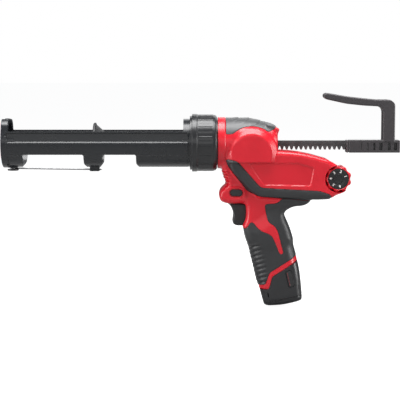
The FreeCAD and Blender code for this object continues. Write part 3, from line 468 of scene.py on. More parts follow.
def rubber_surface(x, y, z, skin):
    """The grip's rubber is 0.25 mm proud, with ribs across its front for the fingers."""
    u, v = on_grip(x, z)
    rib = 0.5 + 0.5 * np.cos(v * 2 * math.pi / 5.3 + 0.5 * np.sin(u * 0.2))
    front = step(-u, 6.0, 15.0) * step(v, -74.0, -69.0) * step(-v, 18.0, 23.0)
    return skin - 0.25 - 1.05 * np.sqrt(rib) * front + 0.4 * front


def battery_shape(x, y, z):
    """The battery's base: the grip's outline carried below the housing's rim, hollow for the cells, with latch seats."""
    u, v = on_grip(x, z)
    side = abs(y)
    base = slab(grip_plan(x, z) + 0.1, y, 23.3, 11.0)
    base = base + 0.6 * step(-v, 90.0, 90.4) * step(v, -91.4, -91.0)
    base = meet(base, rim_plan(x, z) + 0.35, 0.7)
    tower = np.maximum(np.maximum(abs(u - 2.0) - 19.0, side - 19.6), -(v + 84.0))
    base = np.maximum(base, -tower)
    seat = corner(abs(u - 14.0) - 3.3, abs(v + 69.3) - 9.3, 0.8)
    scoop = corner(abs(u - 14.0) - 4.0, abs(v + 69.3) - 10.0, 2.0)
    base = less(base, np.maximum(scoop, 22.9 - side), 0.5)
    slit = corner(abs(u + 14.8) - 0.6, abs(v + 81.8) - 2.6, 0.3)
    base = less(base, np.maximum(slit, 18.5 - side), 0.2)
    return less(base, np.maximum(seat, 20.9 - side), 0.3)


def latch_shape(x, y, z):
    """A push latch: a rounded bar with three ribs across it."""
    u, v = on_grip(x, z)
    proud = 0.15 * np.maximum(np.cos((v + 69.3) * 2 * math.pi / 3.2), 0) * step(4.8 - abs(v + 69.3), 0, 0.4)
    return block((u, y, v), (11.0, 22.5, -78.3), (17.0, 23.5, -60.3), 0.45) - proud * step(y, 22.9, 23.2)


def latch_slit_shade(x, y, z):
    """A strip on the latch's front edge: red plastic seen through the slit there, darkened with painted shade from the
    slit.
    """
    u, v = on_grip(x, z)
    return block((u, y, v), (11.6, 22.8, -77.0), (12.5, 23.65, -61.6), 0.3)


def trigger_shape(x, y, z):
    """The trigger: its outline in the side view with rounded sides, hollowed where the finger and the spring lie."""
    hollow = 0.5 * step(8.0 - abs(y), 0, 6)
    shape = slab(trigger_plan(x, z) + hollow * step(60.0 - x, 0, 8), y, 8.5, 3.0)
    return less(shape, np.maximum(np.hypot(y, z + 81.0) - 3.95, 59.2 - x), 0.2)




def handle_shape(x, y, z):
    """The pull handle: a block round the rod's end with a row of pockets, an upright and a hook over it."""
    side = abs(y)
    base = block((x, y, z), (176.5, -8.5, -11.0), (238.0, 8.5, 3.2), 0.9)
    base = base + 0.5 * step(x, 177.6, 178.2) * step(180.0 - x, 0.0, 0.6)
    for at, half, deep in SLOTS:
        base = less(base, np.maximum(corner(abs(x - at) - half, abs(z + 4.0) - 4.2, 0.5), 8.5 - deep - side), 0.3)
    upright = slab(hook_plan(x, z), y, 9.4, 1.8)
    upright = np.maximum(upright, 1.8 - z)
    room = np.maximum(np.maximum(side - 4.78, abs(z + 2.55) - 5.18), x - 232.0)
    return np.maximum(join(base, upright, 1.2), -room)


# ---- Carriage, collar and the turned pieces -------------------------------------------------


def carriage_shape(x, y, z):
    """The half-pipe: side rails with a bead and a proud lower half, bands under them, end rings, foot and wall."""
    side = abs(y)
    round_out = np.hypot(y, z)
    out = np.where(z < 0, round_out, side)
    along = step(x, -212.4, -211.8)
    ledge = step(3.3 - z, 0.0, 2.8)
    draft = 0.07 * np.clip(z - 2.9, 0, 10.0)
    proud = 27.8 + along * ((1.7 * ledge - 0.7 - draft) * step(z, -14.0, -13.2) + 2.3 * step(z, 12.0, 12.6))
    wall = np.maximum(out - proud, CRADLE_BORE - out)
    flare = 2.6 * step(-z, 21.0, 28.0) ** 2
    window = np.minimum(*[corner(abs(x - at) - half - flare, z + 12.5, 2.0) for at, half in WINDOWS])
    rail = np.maximum(np.maximum(wall, z - 14.0), np.maximum(-213.0 - x, x + 6.0))
    rail = less(rail, window, 0.6)
    ring = corner(round_out - 28.6 - 2.6 * step(z, 12.0, 24.0), abs(x + 214.5) - 4.0, 0.9)
    ring = less(ring, corner(side - 11.4, 9.0 - z, 3.0), 0.8)
    ring = meet(ring, z - 27.7 + 0.3 * np.maximum(x + 213.5, 0), 1.0)
    slope = z - 14.0 - 12.0 * (1 - step(x, -212.0, -206.0))
    lug = corner(np.maximum(round_out - 27.8, 24.9 - round_out), np.maximum(abs(x + 208.0) - 5.5, slope), 0.6)
    lug = np.maximum(lug, 12.0 - side)
    rear = np.minimum(
        corner(round_out - 27.6, np.maximum(-12.0 - x, x - 2.0), 0.6),
        corner(round_out - 29.4, np.maximum(-x, x - 4.0), 0.5),
    )
    foot = corner(np.maximum(abs(x + 113.5) - 5.5, side - 5.0), np.maximum(-32.6 - z, z + 26.8), 0.7)
    foot = less(foot, np.maximum(np.maximum(abs(z + 30.6) - 1.15, -1.1 - y), y - 9.0), 0.3)
    boss = corner(np.hypot(x - PIVOT_X, y) - 5.5, np.maximum(-28.6 - z, z + 26.0), 0.4)
    shape = join(np.minimum(np.minimum(rail, lug), np.minimum(ring, rear)), np.minimum(foot, boss), 0.8)
    bore = np.where(z < 0, round_out, np.where(x < -11.0, side, round_out)) - CRADLE_BORE
    front = np.where((z > 5.0) & (round_out > 25.6), -210.4, -216.0)
    bore = np.maximum(bore, np.maximum(front - x, x))
    shape = less(shape, bore, 0.5)
    slot = np.maximum(np.where(z < 0, round_out, side) - 11.0, x + 214.0)
    shape = less(shape, slot, 0.8)
    shape = less(shape, np.maximum(round_out - 23.5, -4.0 - x), 0.5)
    recess = corner(abs(x + 211.6) - 1.6, np.maximum(abs(z + 24.4) - 1.3, 12.0 - side), 0.3)
    shape = less(shape, np.maximum(recess, -round_out + 26.6), 0.2)
    return less(shape, np.hypot(x - PIVOT_X, y) - PIVOT_HOLE, 0.1)


def washer_shape(x, y, z):
    """The washer that holds the piercing wire's eye against its boss."""
    out = np.hypot(x - PIVOT_X, y)
    return np.maximum(corner(out - 6.0, abs(z + 31.3) - 0.8, 0.4), PIVOT_HOLE - out)


def revolved(profile, columns, swell=None):
    """A closed profile of (x, radius) turned about the barrel's axis.

    The radius at each point may be changed by a swell, a function of x, the radius and the angle.
    """
    profile = np.asarray(profile, float)
    angle = np.linspace(0, 2 * math.pi, columns, endpoint=False)[None, :]
    x = profile[:, :1] + 0 * angle
    radius = profile[:, 1:] + 0 * angle
    if swell is not None:
        radius = swell(x, radius, angle)
    points = np.stack([x, radius * np.cos(angle), radius * np.sin(angle)], -1).reshape(-1, 3)
    return points, grid_faces(len(profile), columns, closed_rows=True)


def rounded_profile(points, radius, steps=4):
    """A profile with each corner turned into a short parabola, and long runs divided for the swell to bend."""
    curve = softened(points, radius, steps)
    parts = []
    for a, b in zip(curve, np.roll(curve, -1, axis=0)):
        count = max(1, int(np.hypot(*(b - a)) / 0.8))
        parts.append(a + (b - a) * np.linspace(0, 1, count, endpoint=False)[:, None])
    return np.concatenate(parts)


def collar_swell(x, radius, angle):
    """Eighteen narrow grooves along the grip, each a bell-shaped dip that fades out at its ends."""
    pitch = math.radians(20.0)
    off = (angle - math.radians(4.0) + pitch / 2) % pitch - pitch / 2
    dip = np.exp(-((off * radius / 0.4) ** 2))
    crown = 0.3 * (1 - (off / (pitch / 2)) ** 2)
    on = step(x, 5.6, 6.6) * step(22.8 - x, 0, 1.0) * step(radius, 31.8, 32.3)
    return radius - on * (0.32 * dip + 0.3 - crown)


def piston_shape(x, y, z):
    """The piston: a disc with a rounded rim on a cone, with a socket for the bar and a sunk screw hole."""
    out = np.hypot(y, z)
    edge = np.interp(x, [-114.5, -113.6, -111.9, -110.9, -96.5, -92.0], [22.3, 23.2, 23.2, 20.8, 8.4, 7.6])
    shape = corner(out - edge, np.maximum(-114.5 - x, x + 92.0), 0.5)
    shape = np.maximum(shape, -block((x, y, z), (-106.0, -4.78, -7.73), (-80.0, 4.78, 2.63), 0.05))
    from_screw = np.hypot(y, z + 2.5)
    shape = less(shape, np.maximum(from_screw - 5.05, x + 112.5), 0.3)
    ring = corner(abs(out - 16.0) - 1.2, abs(x + 114.5) - 0.7, 0.4)
    return np.maximum(less(shape, ring, 0.3), 2.5 - from_screw)


def lock_shape(x, y, z):
    """The lock button: a bar through the neck with rounded ends, a little below the neck's sides."""
    return corner(pill(x, z, 0.15), abs(y) - 21.6, 0.8)


def around_dial(profile, columns, swell=None):
    """A profile of (y, radius) turned about the dial's axis, with the radius changed by a swell if there is one."""
    profile = np.asarray(profile, float)
    angle = np.linspace(0, 2 * math.pi, columns, endpoint=False)[None, :]
    y = profile[:, :1] + 0 * angle
    radius = profile[:, 1:] + 0 * angle
    if swell is not None:
        radius = swell(radius, angle)
    points = np.stack([DIAL_X + radius * np.cos(angle), y, DIAL_Z + radius * np.sin(angle)], -1).reshape(-1, 3)
    return points, grid_faces(len(profile), columns)[:, ::-1]


def lobes(radius, angle):
    """Nine finger lobes: the rim's radius less a flattened cosine of nine times the angle, fading out inwards."""
    wave = np.cos(9 * (angle - math.radians(20.5)))
    lobe = 0.5 + 0.5 * np.sign(wave) * np.abs(wave) ** 0.7
    return radius - (1 - lobe) * 1.7 * step(radius, 12.2, 14.3)


WHEEL_SIDE = [
    (18.1, 0.0), (18.1, 11.9), (18.8, 11.95), (19.7, 12.1), (20.0, 12.5), (20.0, 13.5), (19.7, 14.3), (18.9, 15.0),
    (17.8, 15.25), (12.0, 15.25), (6.7, 15.25), (5.9, 15.0), (5.6, 14.5), (5.6, 8.0), (5.6, 3.0),
]
WHEEL = [(-y, r) for y, r in WHEEL_SIDE] + WHEEL_SIDE[::-1]
FACE = [
    (-18.0, 0.0), (-18.0, 11.8), (-19.3, 11.8), (-19.6, 11.65), (-19.7, 11.3), (-19.6, 6.2), (-19.45, 5.9),
    (-19.45, 5.5), (-19.85, 5.2), (-19.9, 4.7), (-19.85, 4.3), (-19.2, 4.0), (-19.15, 3.6), (-19.0, 0.0),
][::-1]


# ---- Finishes -------------------------------------------------------------------------------


def link(tree, a, b):
    """Joins an output socket to an input socket."""
    tree.links.new(a, b)


def grain_group():
    """Moulded grain: a fine pitted height and a slow drift in sheen, both from noise on the given coordinates."""
    group = bpy.data.node_groups.new("Moulded grain", "ShaderNodeTree")
    face = group.interface
    face.new_socket("Vector", in_out="INPUT", socket_type="NodeSocketVector")
    for name, value in (("Grain Size", 2500.0), ("Sheen", 0.4), ("Sheen Drift", 0.06)):
        face.new_socket(name, in_out="INPUT", socket_type="NodeSocketFloat").default_value = value
    face.new_socket("Height", in_out="OUTPUT", socket_type="NodeSocketFloat")
    face.new_socket("Roughness", in_out="OUTPUT", socket_type="NodeSocketFloat")
    face.new_socket("Cloud", in_out="OUTPUT", socket_type="NodeSocketFloat")
    nodes = group.nodes
    start, end = nodes.new("NodeGroupInput"), nodes.new("NodeGroupOutput")
    fine, slow = nodes.new("ShaderNodeTexNoise"), nodes.new("ShaderNodeTexNoise")
    fine.inputs["Detail"].default_value = 3.0
    slow.inputs["Scale"].default_value = 45.0
    slow.inputs["Detail"].default_value = 4.0
    link(group, start.outputs["Vector"], fine.inputs["Vector"])
    link(group, start.outputs["Vector"], slow.inputs["Vector"])
    link(group, start.outputs["Grain Size"], fine.inputs["Scale"])
    centred = nodes.new("ShaderNodeMath")
    centred.operation = "SUBTRACT"
    centred.inputs[1].default_value = 0.5
    scaled = nodes.new("ShaderNodeMath")
    scaled.operation = "MULTIPLY_ADD"
    link(group, slow.outputs["Fac"], centred.inputs[0])
    link(group, centred.outputs[0], scaled.inputs[0])
    link(group, start.outputs["Sheen Drift"], scaled.inputs[1])
    link(group, start.outputs["Sheen"], scaled.inputs[2])
    link(group, fine.outputs["Fac"], end.inputs["Height"])
    link(group, scaled.outputs[0], end.inputs["Roughness"])
    link(group, slow.outputs["Fac"], end.inputs["Cloud"])
    return group


def rub_group():
    """Handling wear: a mask that is strong on convex edges and broken up by noise."""
    group = bpy.data.node_groups.new("Handling wear", "ShaderNodeTree")
    face = group.interface
    face.new_socket("Vector", in_out="INPUT", socket_type="NodeSocketVector")
    face.new_socket("Amount", in_out="INPUT", socket_type="NodeSocketFloat").default_value = 0.3
    face.new_socket("Mask", in_out="OUTPUT", socket_type="NodeSocketFloat")
    nodes = group.nodes
    start, end = nodes.new("NodeGroupInput"), nodes.new("NodeGroupOutput")
    shape, ramp = nodes.new("ShaderNodeNewGeometry"), nodes.new("ShaderNodeMapRange")
    noise = nodes.new("ShaderNodeTexNoise")
    ramp.inputs["From Min"].default_value = 0.52
    ramp.inputs["From Max"].default_value = 0.62
    noise.inputs["Scale"].default_value = 160.0
    noise.inputs["Detail"].default_value = 5.0
    link(group, start.outputs["Vector"], noise.inputs["Vector"])
    link(group, shape.outputs["Pointiness"], ramp.inputs["Value"])
    first, second = nodes.new("ShaderNodeMath"), nodes.new("ShaderNodeMath")
    first.operation = second.operation = "MULTIPLY"
    link(group, ramp.outputs["Result"], first.inputs[0])
    link(group, noise.outputs["Fac"], first.inputs[1])
    link(group, first.outputs[0], second.inputs[0])
    link(group, start.outputs["Amount"], second.inputs[1])
    link(group, second.outputs[0], end.inputs["Mask"])
    return group


FINISH_PREFIX = "gun_"


def finish(name, colour, worn, rough, drift=0.08, grain=2500.0, bump=0.02, wear=0.25, metallic=0.0, coat=0.0):
    """A material: one base colour that clouds slightly, its grain as bump, and a lighter worn colour on the edges."""
    material = bpy.data.materials.new(FINISH_PREFIX + name)
    material.use_nodes = True
    tree = material.node_tree
    nodes = tree.nodes
    shader = nodes["Principled BSDF"]
    place = nodes.new("ShaderNodeTexCoord")
    grained, rubbed = nodes.new("ShaderNodeGroup"), nodes.new("ShaderNodeGroup")
    grained.node_tree = bpy.data.node_groups.get("Moulded grain") or grain_group()
    rubbed.node_tree = bpy.data.node_groups.get("Handling wear") or rub_group()
    grained.inputs["Grain Size"].default_value = grain
    grained.inputs["Sheen"].default_value = rough
    grained.inputs["Sheen Drift"].default_value = drift
    rubbed.inputs["Amount"].default_value = wear
    link(tree, place.outputs["Object"], grained.inputs["Vector"])
    link(tree, place.outputs["Object"], rubbed.inputs["Vector"])
    cloud, edge = nodes.new("ShaderNodeMix"), nodes.new("ShaderNodeMix")
    cloud.data_type = edge.data_type = "RGBA"
    cloud.inputs[6].default_value = (*[c * 0.88 for c in colour], 1)
    cloud.inputs[7].default_value = (*[c * 1.08 for c in colour], 1)
    edge.inputs[7].default_value = (*worn, 1)
    link(tree, grained.outputs["Cloud"], cloud.inputs[0])
    link(tree, cloud.outputs[2], edge.inputs[6])
    link(tree, rubbed.outputs["Mask"], edge.inputs[0])
    link(tree, edge.outputs[2], shader.inputs["Base Color"])
    link(tree, grained.outputs["Roughness"], shader.inputs["Roughness"])
    relief = nodes.new("ShaderNodeBump")
    relief.inputs["Strength"].default_value = 1.0
    relief.inputs["Distance"].default_value = bump * 0.001
    link(tree, grained.outputs["Height"], relief.inputs["Height"])
    link(tree, relief.outputs["Normal"], shader.inputs["Normal"])
    shader.inputs["Metallic"].default_value = metallic
    shader.inputs["Coat Weight"].default_value = coat
    shader.inputs["Coat Roughness"].default_value = 0.2
    return material


# ---- What a user would change ---------------------------------------------------------------


class GunColours(bpy.types.PropertyGroup):
    red: bpy.props.FloatVectorProperty(
        name="Red plastic", description="Housing and dial wheel", subtype="COLOR", size=3,
        default=(0.58, 0.006, 0.018),
    )
    trim: bpy.props.FloatVectorProperty(
        name="Grip rubber", description="Stripe and grip skin", subtype="COLOR", size=3,
        default=(0.019, 0.0195, 0.021),
    )
    pad: bpy.props.FloatVectorProperty(
        name="Head rubber", description="Pad over the barrel", subtype="COLOR", size=3,
        default=(0.062, 0.063, 0.065),
    )
    black: bpy.props.FloatVectorProperty(
        name="Black plastic", description="Collar, piston and battery", subtype="COLOR", size=3,
        default=(0.014, 0.0145, 0.016),
    )
    carriage: bpy.props.FloatVectorProperty(
        name="Carriage plastic", description="Cradle for the cartridge", subtype="COLOR", size=3,
        default=(0.011, 0.0125, 0.015),
    )
    handle: bpy.props.FloatVectorProperty(
        name="Handle plastic", description="Pull handle", subtype="COLOR", size=3, default=(0.038, 0.034, 0.037)
    )
    digits: bpy.props.FloatVectorProperty(
        name="Dial digits", description="Numbers on the speed dial", subtype="COLOR", size=3,
        default=(0.82, 0.82, 0.80),
    )


class GunSizes(bpy.types.PropertyGroup):
    pitch: bpy.props.FloatProperty(
        name="Surface pitch", description="Grid spacing of the large surfaces", default=0.0009, min=0.0005,
        unit="LENGTH", precision=4,
    )
    digit_height: bpy.props.FloatProperty(
        name="Digit height", description="Height of the dial's numbers", default=0.0031, unit="LENGTH", precision=4
    )
    digit_circle: bpy.props.FloatProperty(
        name="Digit circle", description="Radius that the dial's numbers stand on", default=0.0087, unit="LENGTH",
        precision=4,
    )
    camera_distance: bpy.props.FloatProperty(
        name="Camera distance", description="Camera to the gun's middle plane", default=1.501, unit="LENGTH"
    )
    camera_height: bpy.props.FloatProperty(
        name="Camera height", description="Camera above the barrel's axis", default=0.0755, unit="LENGTH"
    )
    lens: bpy.props.FloatProperty(name="Lens", description="Focal length", default=117.0, unit="CAMERA")


class Finishes(bpy.types.Operator):
    """Makes the material of every finish"""

    bl_idname = "gun.finishes"
    bl_label = "Finishes"

    def execute(self, context):
        colours = context.scene.gun_colours
        finish("red_plastic", colours.red, (0.80, 0.10, 0.09), 0.32, drift=0.08, grain=1900, bump=0.005, wear=0.3)
        finish("grip_rubber", colours.trim, (0.05, 0.05, 0.05), 0.44, drift=0.12, grain=1500, bump=0.012, wear=0.4)
        finish("head_rubber", colours.pad, (0.16, 0.16, 0.16), 0.42, drift=0.10, grain=1500, bump=0.010, wear=0.4)
        finish("black_plastic", colours.black, (0.06, 0.06, 0.065), 0.30, grain=1800, bump=0.006, wear=0.4)
        finish("piston_plastic", colours.black, (0.06, 0.06, 0.065), 0.55, grain=1800, bump=0.01, wear=0.4)
        finish("carriage_plastic", colours.carriage, (0.06, 0.065, 0.07), 0.28, grain=1600, bump=0.005, wear=0.4)
        finish("handle_plastic", colours.handle, (0.09, 0.085, 0.085), 0.38, grain=1600, bump=0.01, wear=0.4)
        finish("button_plastic", (0.013, 0.013, 0.014), (0.05, 0.05, 0.05), 0.42, grain=1800, bump=0.008)
        # The latch strip's red is the housing's red with the slit's shade painted into it.
        finish("latch_shaded_red", (0.11, 0.004, 0.010), (0.2, 0.02, 0.02), 0.4, grain=1900, bump=0.005)
        finish("dial_black", (0.012, 0.012, 0.013), (0.05, 0.05, 0.05), 0.32, grain=1800, bump=0.01)
        finish("dial_white", colours.digits, (0.7, 0.7, 0.7), 0.5, grain=1800, bump=0.005, wear=0.1)
        finish("black_steel", (0.014, 0.013, 0.014), (0.16, 0.16, 0.165), 0.38, grain=900, bump=0.01, wear=0.9,
               metallic=0.3)
        finish("steel", (0.48, 0.48, 0.50), (0.75, 0.75, 0.76), 0.28, grain=700, bump=0.01, metallic=1.0)
        finish("wire_steel", (0.26, 0.26, 0.265), (0.6, 0.6, 0.6), 0.35, grain=700, bump=0.006, metallic=1.0, wear=0.0)
        finish("bronze", (0.50, 0.30, 0.14), (0.75, 0.52, 0.28), 0.38, grain=1200, bump=0.02, metallic=1.0)
        finish("gear_steel", (0.38, 0.38, 0.40), (0.7, 0.7, 0.71), 0.34, grain=900, bump=0.01, metallic=1.0, coat=0.3)
        finish("wheel_bronze", (0.58, 0.38, 0.17), (0.8, 0.6, 0.34), 0.32, grain=900, bump=0.01, metallic=1.0,
               coat=0.3)
        finish("motor_steel", (0.42, 0.42, 0.43), (0.65, 0.65, 0.66), 0.36, grain=600, bump=0.012, metallic=1.0)
        finish("board_green", (0.010, 0.085, 0.035), (0.35, 0.30, 0.12), 0.40, grain=400, bump=0.05, coat=0.4)
        finish("cell_wrap", (0.020, 0.16, 0.30), (0.12, 0.30, 0.45), 0.30, grain=500, bump=0.02, coat=0.5)
        finish("copper", (0.70, 0.34, 0.20), (0.90, 0.60, 0.42), 0.30, grain=700, bump=0.01, metallic=1.0)
        return {"FINISHED"}


def finish_of(name):
    """A material made by the finishes operator."""
    return bpy.data.materials[FINISH_PREFIX + name]


def in_mm(value):
    """A property in metres as millimetres."""
    return value * 1000.0


class Housing(bpy.types.Operator):
    """Builds the two halves of the red housing"""

    bl_idname = "gun.housing"
    bl_label = "Housing halves"

    def execute(self, context):
        pitch = in_mm(context.scene.gun_sizes.pitch)
        red = finish_of("red_plastic")
        low, high = (27, -31.5, -172), (180, 1.2, 31)
        points, faces = contour(housing_half, low, high, pitch)
        put("housing_left_shell", points, faces, red, "housing", ["housing_left"], "red_plastic")
        points, faces = contour(lambda x, y, z: housing_half(x, y, z, True), low, high, pitch)
        put("housing_right_shell", points, faces, red, "housing", ["housing_right"], "red_plastic", flip_y=True)
        return {"FINISHED"}


class Rubber(bpy.types.Operator):
    """Builds the rubber pads, stripes and grip skins let into the housing"""

    bl_idname = "gun.rubber"
    bl_label = "Rubber inlays"

    def execute(self, context):
        pitch = in_mm(context.scene.gun_sizes.pitch) * 0.9
        skins = (
            ("head_pad", "head_rubber", pad_plan, pad_surface, (36, -31.5, 8), (100, 1.2, 32)),
            ("trim", "grip_rubber", trim_plan, trim_surface, (34, -31.5, -68), (161, 1.2, -14)),
            ("grip_rubber", "grip_rubber", rubber_plan, rubber_surface, (54, -26, -170), (144, 1.2, -62)),
        )
        for name, slot, plan, surface, low, high in skins:
            points, faces = contour(lambda x, y, z: inlay_cut(name, plan, x, y, z, surface), low, high, pitch)
            for side in ("left", "right"):
                put(
                    f"{name}_{side}_skin", points, faces, finish_of(slot), "housing", [f"{name}_{side}"], slot,
                    flip_y=side == "right",
                )
        return {"FINISHED"}


def inlay_cut(name, plan, x, y, z, surface):
    """An inlay with the housing's openings taken out of it."""
    shape = inlay(plan, x, y, z, surface)
    if name == "grip_rubber":
        shape = less(shape, rim_plan(x, z), 0.5)
        shape = less(shape, trigger_opening(x, y, z), 0.5)
        shape = less(shape, trim_plan(x, z) - 0.2, 0.3)
    return shape


class Carriage(bpy.types.Operator):
    """Builds the cartridge carriage and its piercing wire"""

    bl_idname = "gun.carriage"
    bl_label = "Carriage and piercing wire"

    def execute(self, context):
        pitch = in_mm(context.scene.gun_sizes.pitch) * 0.85
        points, faces = contour(carriage_shape, (-222, -31, -34), (5.5, 31, 31), pitch)
        put("carriage_cradle", points, faces, finish_of("carriage_plastic"), "housing", ["carriage_frame"],
            "carriage_plastic")
        turn = np.linspace(math.radians(30), math.radians(330), 40)
        eye = np.stack([PIVOT_X + 2.5 * np.cos(turn), 2.5 * np.sin(turn), np.full(40, -29.5)], -1)
        along = np.array([-105.0, -107.0, -140.0, -170.0, -198.0, -203.2])
        start = np.stack([along, [0, 0, 0, 0, 0, 0.3], np.interp(along, [-203.2, -107.0], [-29.5, -30.9])], -1)
        path = np.concatenate([start, eye])
        radius = np.full(len(path), 0.9)
        radius[0] = 0.12
        points, faces = tube(path, radius, 16)
        put("piercing_wire", points, faces, finish_of("wire_steel"), "piercing_rod", ["piercing_rod"], "wire_steel",
            sharp=60, weld=True)
        points, faces = contour(washer_shape, (-215, -7, -34), (-201, 7, -29), 0.5)
        put("pivot_washer", points, faces, finish_of("black_steel"), "housing", [], "black_steel")
        return {"FINISHED"}


def tube(path, radius, sides):
    """A round wire along a level path, closed to a point at each end: rings of points square to the path."""
    path = np.asarray(path, float)
    along = np.gradient(path, axis=0)
    along /= np.linalg.norm(along, axis=1, keepdims=True)
    up = np.array([0.0, 0.0, 1.0])
    across = np.cross(up, along)
    angle = np.linspace(0, 2 * math.pi, sides, endpoint=False)[None, :, None]
    size = np.asarray(radius, float)[:, None, None]
    ring = path[:, None] + size * (np.cos(angle) * across[:, None] + np.sin(angle) * up)
    first = np.repeat(path[:1], sides, axis=0)[None]
    last = np.repeat(path[-1:], sides, axis=0)[None]
    ring = np.concatenate([first, ring, last])
    return ring.reshape(-1, 3), grid_faces(len(ring), sides)[:, ::-1]


class Collar(bpy.types.Operator):
    """Builds the grooved collar that holds the carriage"""

    bl_idname = "gun.collar"
    bl_label = "Collar"

    def execute(self, context):
        profile = rounded_profile([
            (-3.5, 28.0), (-3.5, 31.0), (-1.0, 31.15), (-1.0, 33.2), (4.4, 33.2), (5.0, 32.6), (22.9, 32.6), (26.0, 31.6),
            (27.0, 30.6), (27.0, 30.0), (-0.5, 30.0), (-0.5, 28.0),
        ], 0.5)
        points, faces = revolved(profile, 720, collar_swell)
        put("collar_ring", points, faces, finish_of("black_plastic"), "collar", ["collar"], "black_plastic")
        return {"FINISHED"}


class Pusher(bpy.types.Operator):
    """Builds the piston and the pull handle on the rack bar"""

    bl_idname = "gun.pusher"
    bl_label = "Piston and pull handle"

    def execute(self, context):
        points, faces = contour(piston_shape, (-116, -24.5, -24.5), (-91, 24.5, 24.5), 0.7)
        put("piston_disc", points, faces, finish_of("piston_plastic"), "plunger", ["piston"], "black_plastic")
        points, faces = contour(handle_shape, (147, -11, -13), (241, 11, 60), 0.7)
        put("handle_hook", points, faces, finish_of("handle_plastic"), "plunger", ["pull_handle"], "handle_plastic")
        return {"FINISHED"}


class Controls(bpy.types.Operator):
    """Builds the speed dial with its numbered faces, the trigger and the lock button"""

    bl_idname = "gun.controls"
    bl_label = "Dial, trigger and lock button"

    def execute(self, context):
        red, black = finish_of("red_plastic"), finish_of("button_plastic")
        points, faces = around_dial(WHEEL, 540, lobes)
        put("dial_wheel_red", points, faces, red, "dial", ["dial_wheel"], "red_plastic", weld=True)
        points, faces = around_dial(FACE, 180)
        for side in ("left", "right"):
            flip = side == "right"
            put(f"dial_disc_{side}", points, faces, finish_of("dial_black"), "dial", [f"dial_face_{side}"],
                "dial_black", flip_y=flip, weld=True)
            digits(f"dial_digits_{side}", context.scene.gun_sizes, flip)
        points, faces = contour(trigger_shape, (38, -10, -99), (68, 10, -69), 0.6)
        put("trigger_lever", points, faces, black, "trigger", ["trigger"], "button_plastic")
        points, faces = contour(lock_shape, (41, -24, -61.5), (58, 24, -51), 0.5)
        put("lock_bar", points, faces, black, "lock_button", ["lock_button"], "button_plastic")
        return {"FINISHED"}


DIGITS = 6
FIRST_DIGIT, DIGIT_STEP = 21.0, 52.0  # degrees round the dial
DIGIT_DEPTH = 19.62  # from the middle plane
FIGURE_HEIGHT = 0.72  # a figure's height as a share of the text's size


def digits(name, sizes, flip):
    """The numbers 1 to 6 as thin raised figures round one face of the dial, each with its top outwards."""
    joined = bmesh.new()
    for i in range(DIGITS):
        text = bpy.data.curves.new(name, "FONT")
        text.body = str(i + 1)
        text.align_x = "CENTER"
        text.align_y = "CENTER"
        text.size = sizes.digit_height / FIGURE_HEIGHT
        text.offset = 0.00016
        text.extrude = 0.00006
        holder = bpy.data.objects.new(name, text)
        flat = bpy.data.meshes.new_from_object(holder)
        angle = math.radians(FIRST_DIGIT + DIGIT_STEP * i)
        way = -1.0 if flip else 1.0
        up = Vector((math.cos(angle), 0, math.sin(angle)))
        out = Vector((0, -way, 0))
        right = up.cross(out)
        centre = Vector((DIAL_X, -way * DIGIT_DEPTH, DIAL_Z)) * 0.001 + up * sizes.digit_circle
        turn = Matrix((right, up, out)).transposed().to_4x4()
        flat.transform(Matrix.Translation(centre) @ turn)
        joined.from_mesh(flat)
        bpy.data.objects.remove(holder)
        bpy.data.curves.remove(text)
        bpy.data.meshes.remove(flat)
    mesh = bpy.data.meshes.new(name)
    joined.to_mesh(mesh)
    joined.free()
    mesh.materials.append(finish_of("dial_white"))
    piece = bpy.data.objects.new(name, mesh)
    bpy.context.scene.collection.objects.link(piece)
    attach(piece, "dial")


class Battery(bpy.types.Operator):
    """Builds the battery's base and its two latches"""

    bl_idname = "gun.battery"
    bl_label = "Battery"

    def execute(self, context):
        points, faces = contour(battery_shape, (68, -26, -192), (131, 26, -125), 0.8)
        put("battery_foot", points, faces, finish_of("black_plastic"), "battery", ["battery_base"], "black_plastic")
        points, faces = contour(latch_shape, (90, 19, -172), (130, 26, -140), 0.5)
        # Each latch's strip is painted shade: a darkened red standing where the slit between latch and base lies.
        line = contour(latch_slit_shade, (100, 22, -172), (125, 25, -140), 0.4)
        for side in ("left", "right"):
            put(f"latch_{side}_bar", points, faces, finish_of("button_plastic"), f"latch_{side}", [f"latch_{side}"],
                "button_plastic", flip_y=side == "left")
            put(f"latch_{side}_line", *line, finish_of("latch_shaded_red"), f"latch_{side}", [], "red_plastic",
                flip_y=side == "left")
        return {"FINISHED"}


class Works(bpy.types.Operator):
    """Gives the pieces inside, and the ones whose shape needs nothing more, their finishes"""

    bl_idname = "gun.works"
    bl_label = "Works and fasteners"

    def execute(self, context):
        for node, name in WORKS.items():
            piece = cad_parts[node]
            piece.data.materials.clear()
            piece.data.materials.append(finish_of(name))
        return {"FINISHED"}


WORKS = {
    "nose_ring": "black_plastic", "front_rod_bushing": "bronze", "rear_rod_bushing": "bronze",
    "motor_can": "motor_steel", "motor_end_cap": "black_plastic", "gearbox_case": "black_plastic",
    "worm_bearing": "bronze", "output_bearing_left": "steel", "output_bearing_right": "steel",
    "switch_module": "black_plastic", "control_board": "board_green", "dial_potentiometer": "black_plastic",
    "contact_block": "black_plastic", "housing_screws": "black_steel", "trigger_spring": "steel",
    "wire_pivot_screw": "black_steel", "rack_rod": "black_steel", "piston_screw": "steel", "handle_pins": "black_steel",
    "rack_pinion": "gear_steel", "worm_wheel": "wheel_bronze", "output_shaft": "gear_steel", "worm": "gear_steel",
    "battery_tower": "black_plastic", "battery_terminals": "copper", "battery_cells": "cell_wrap",
}


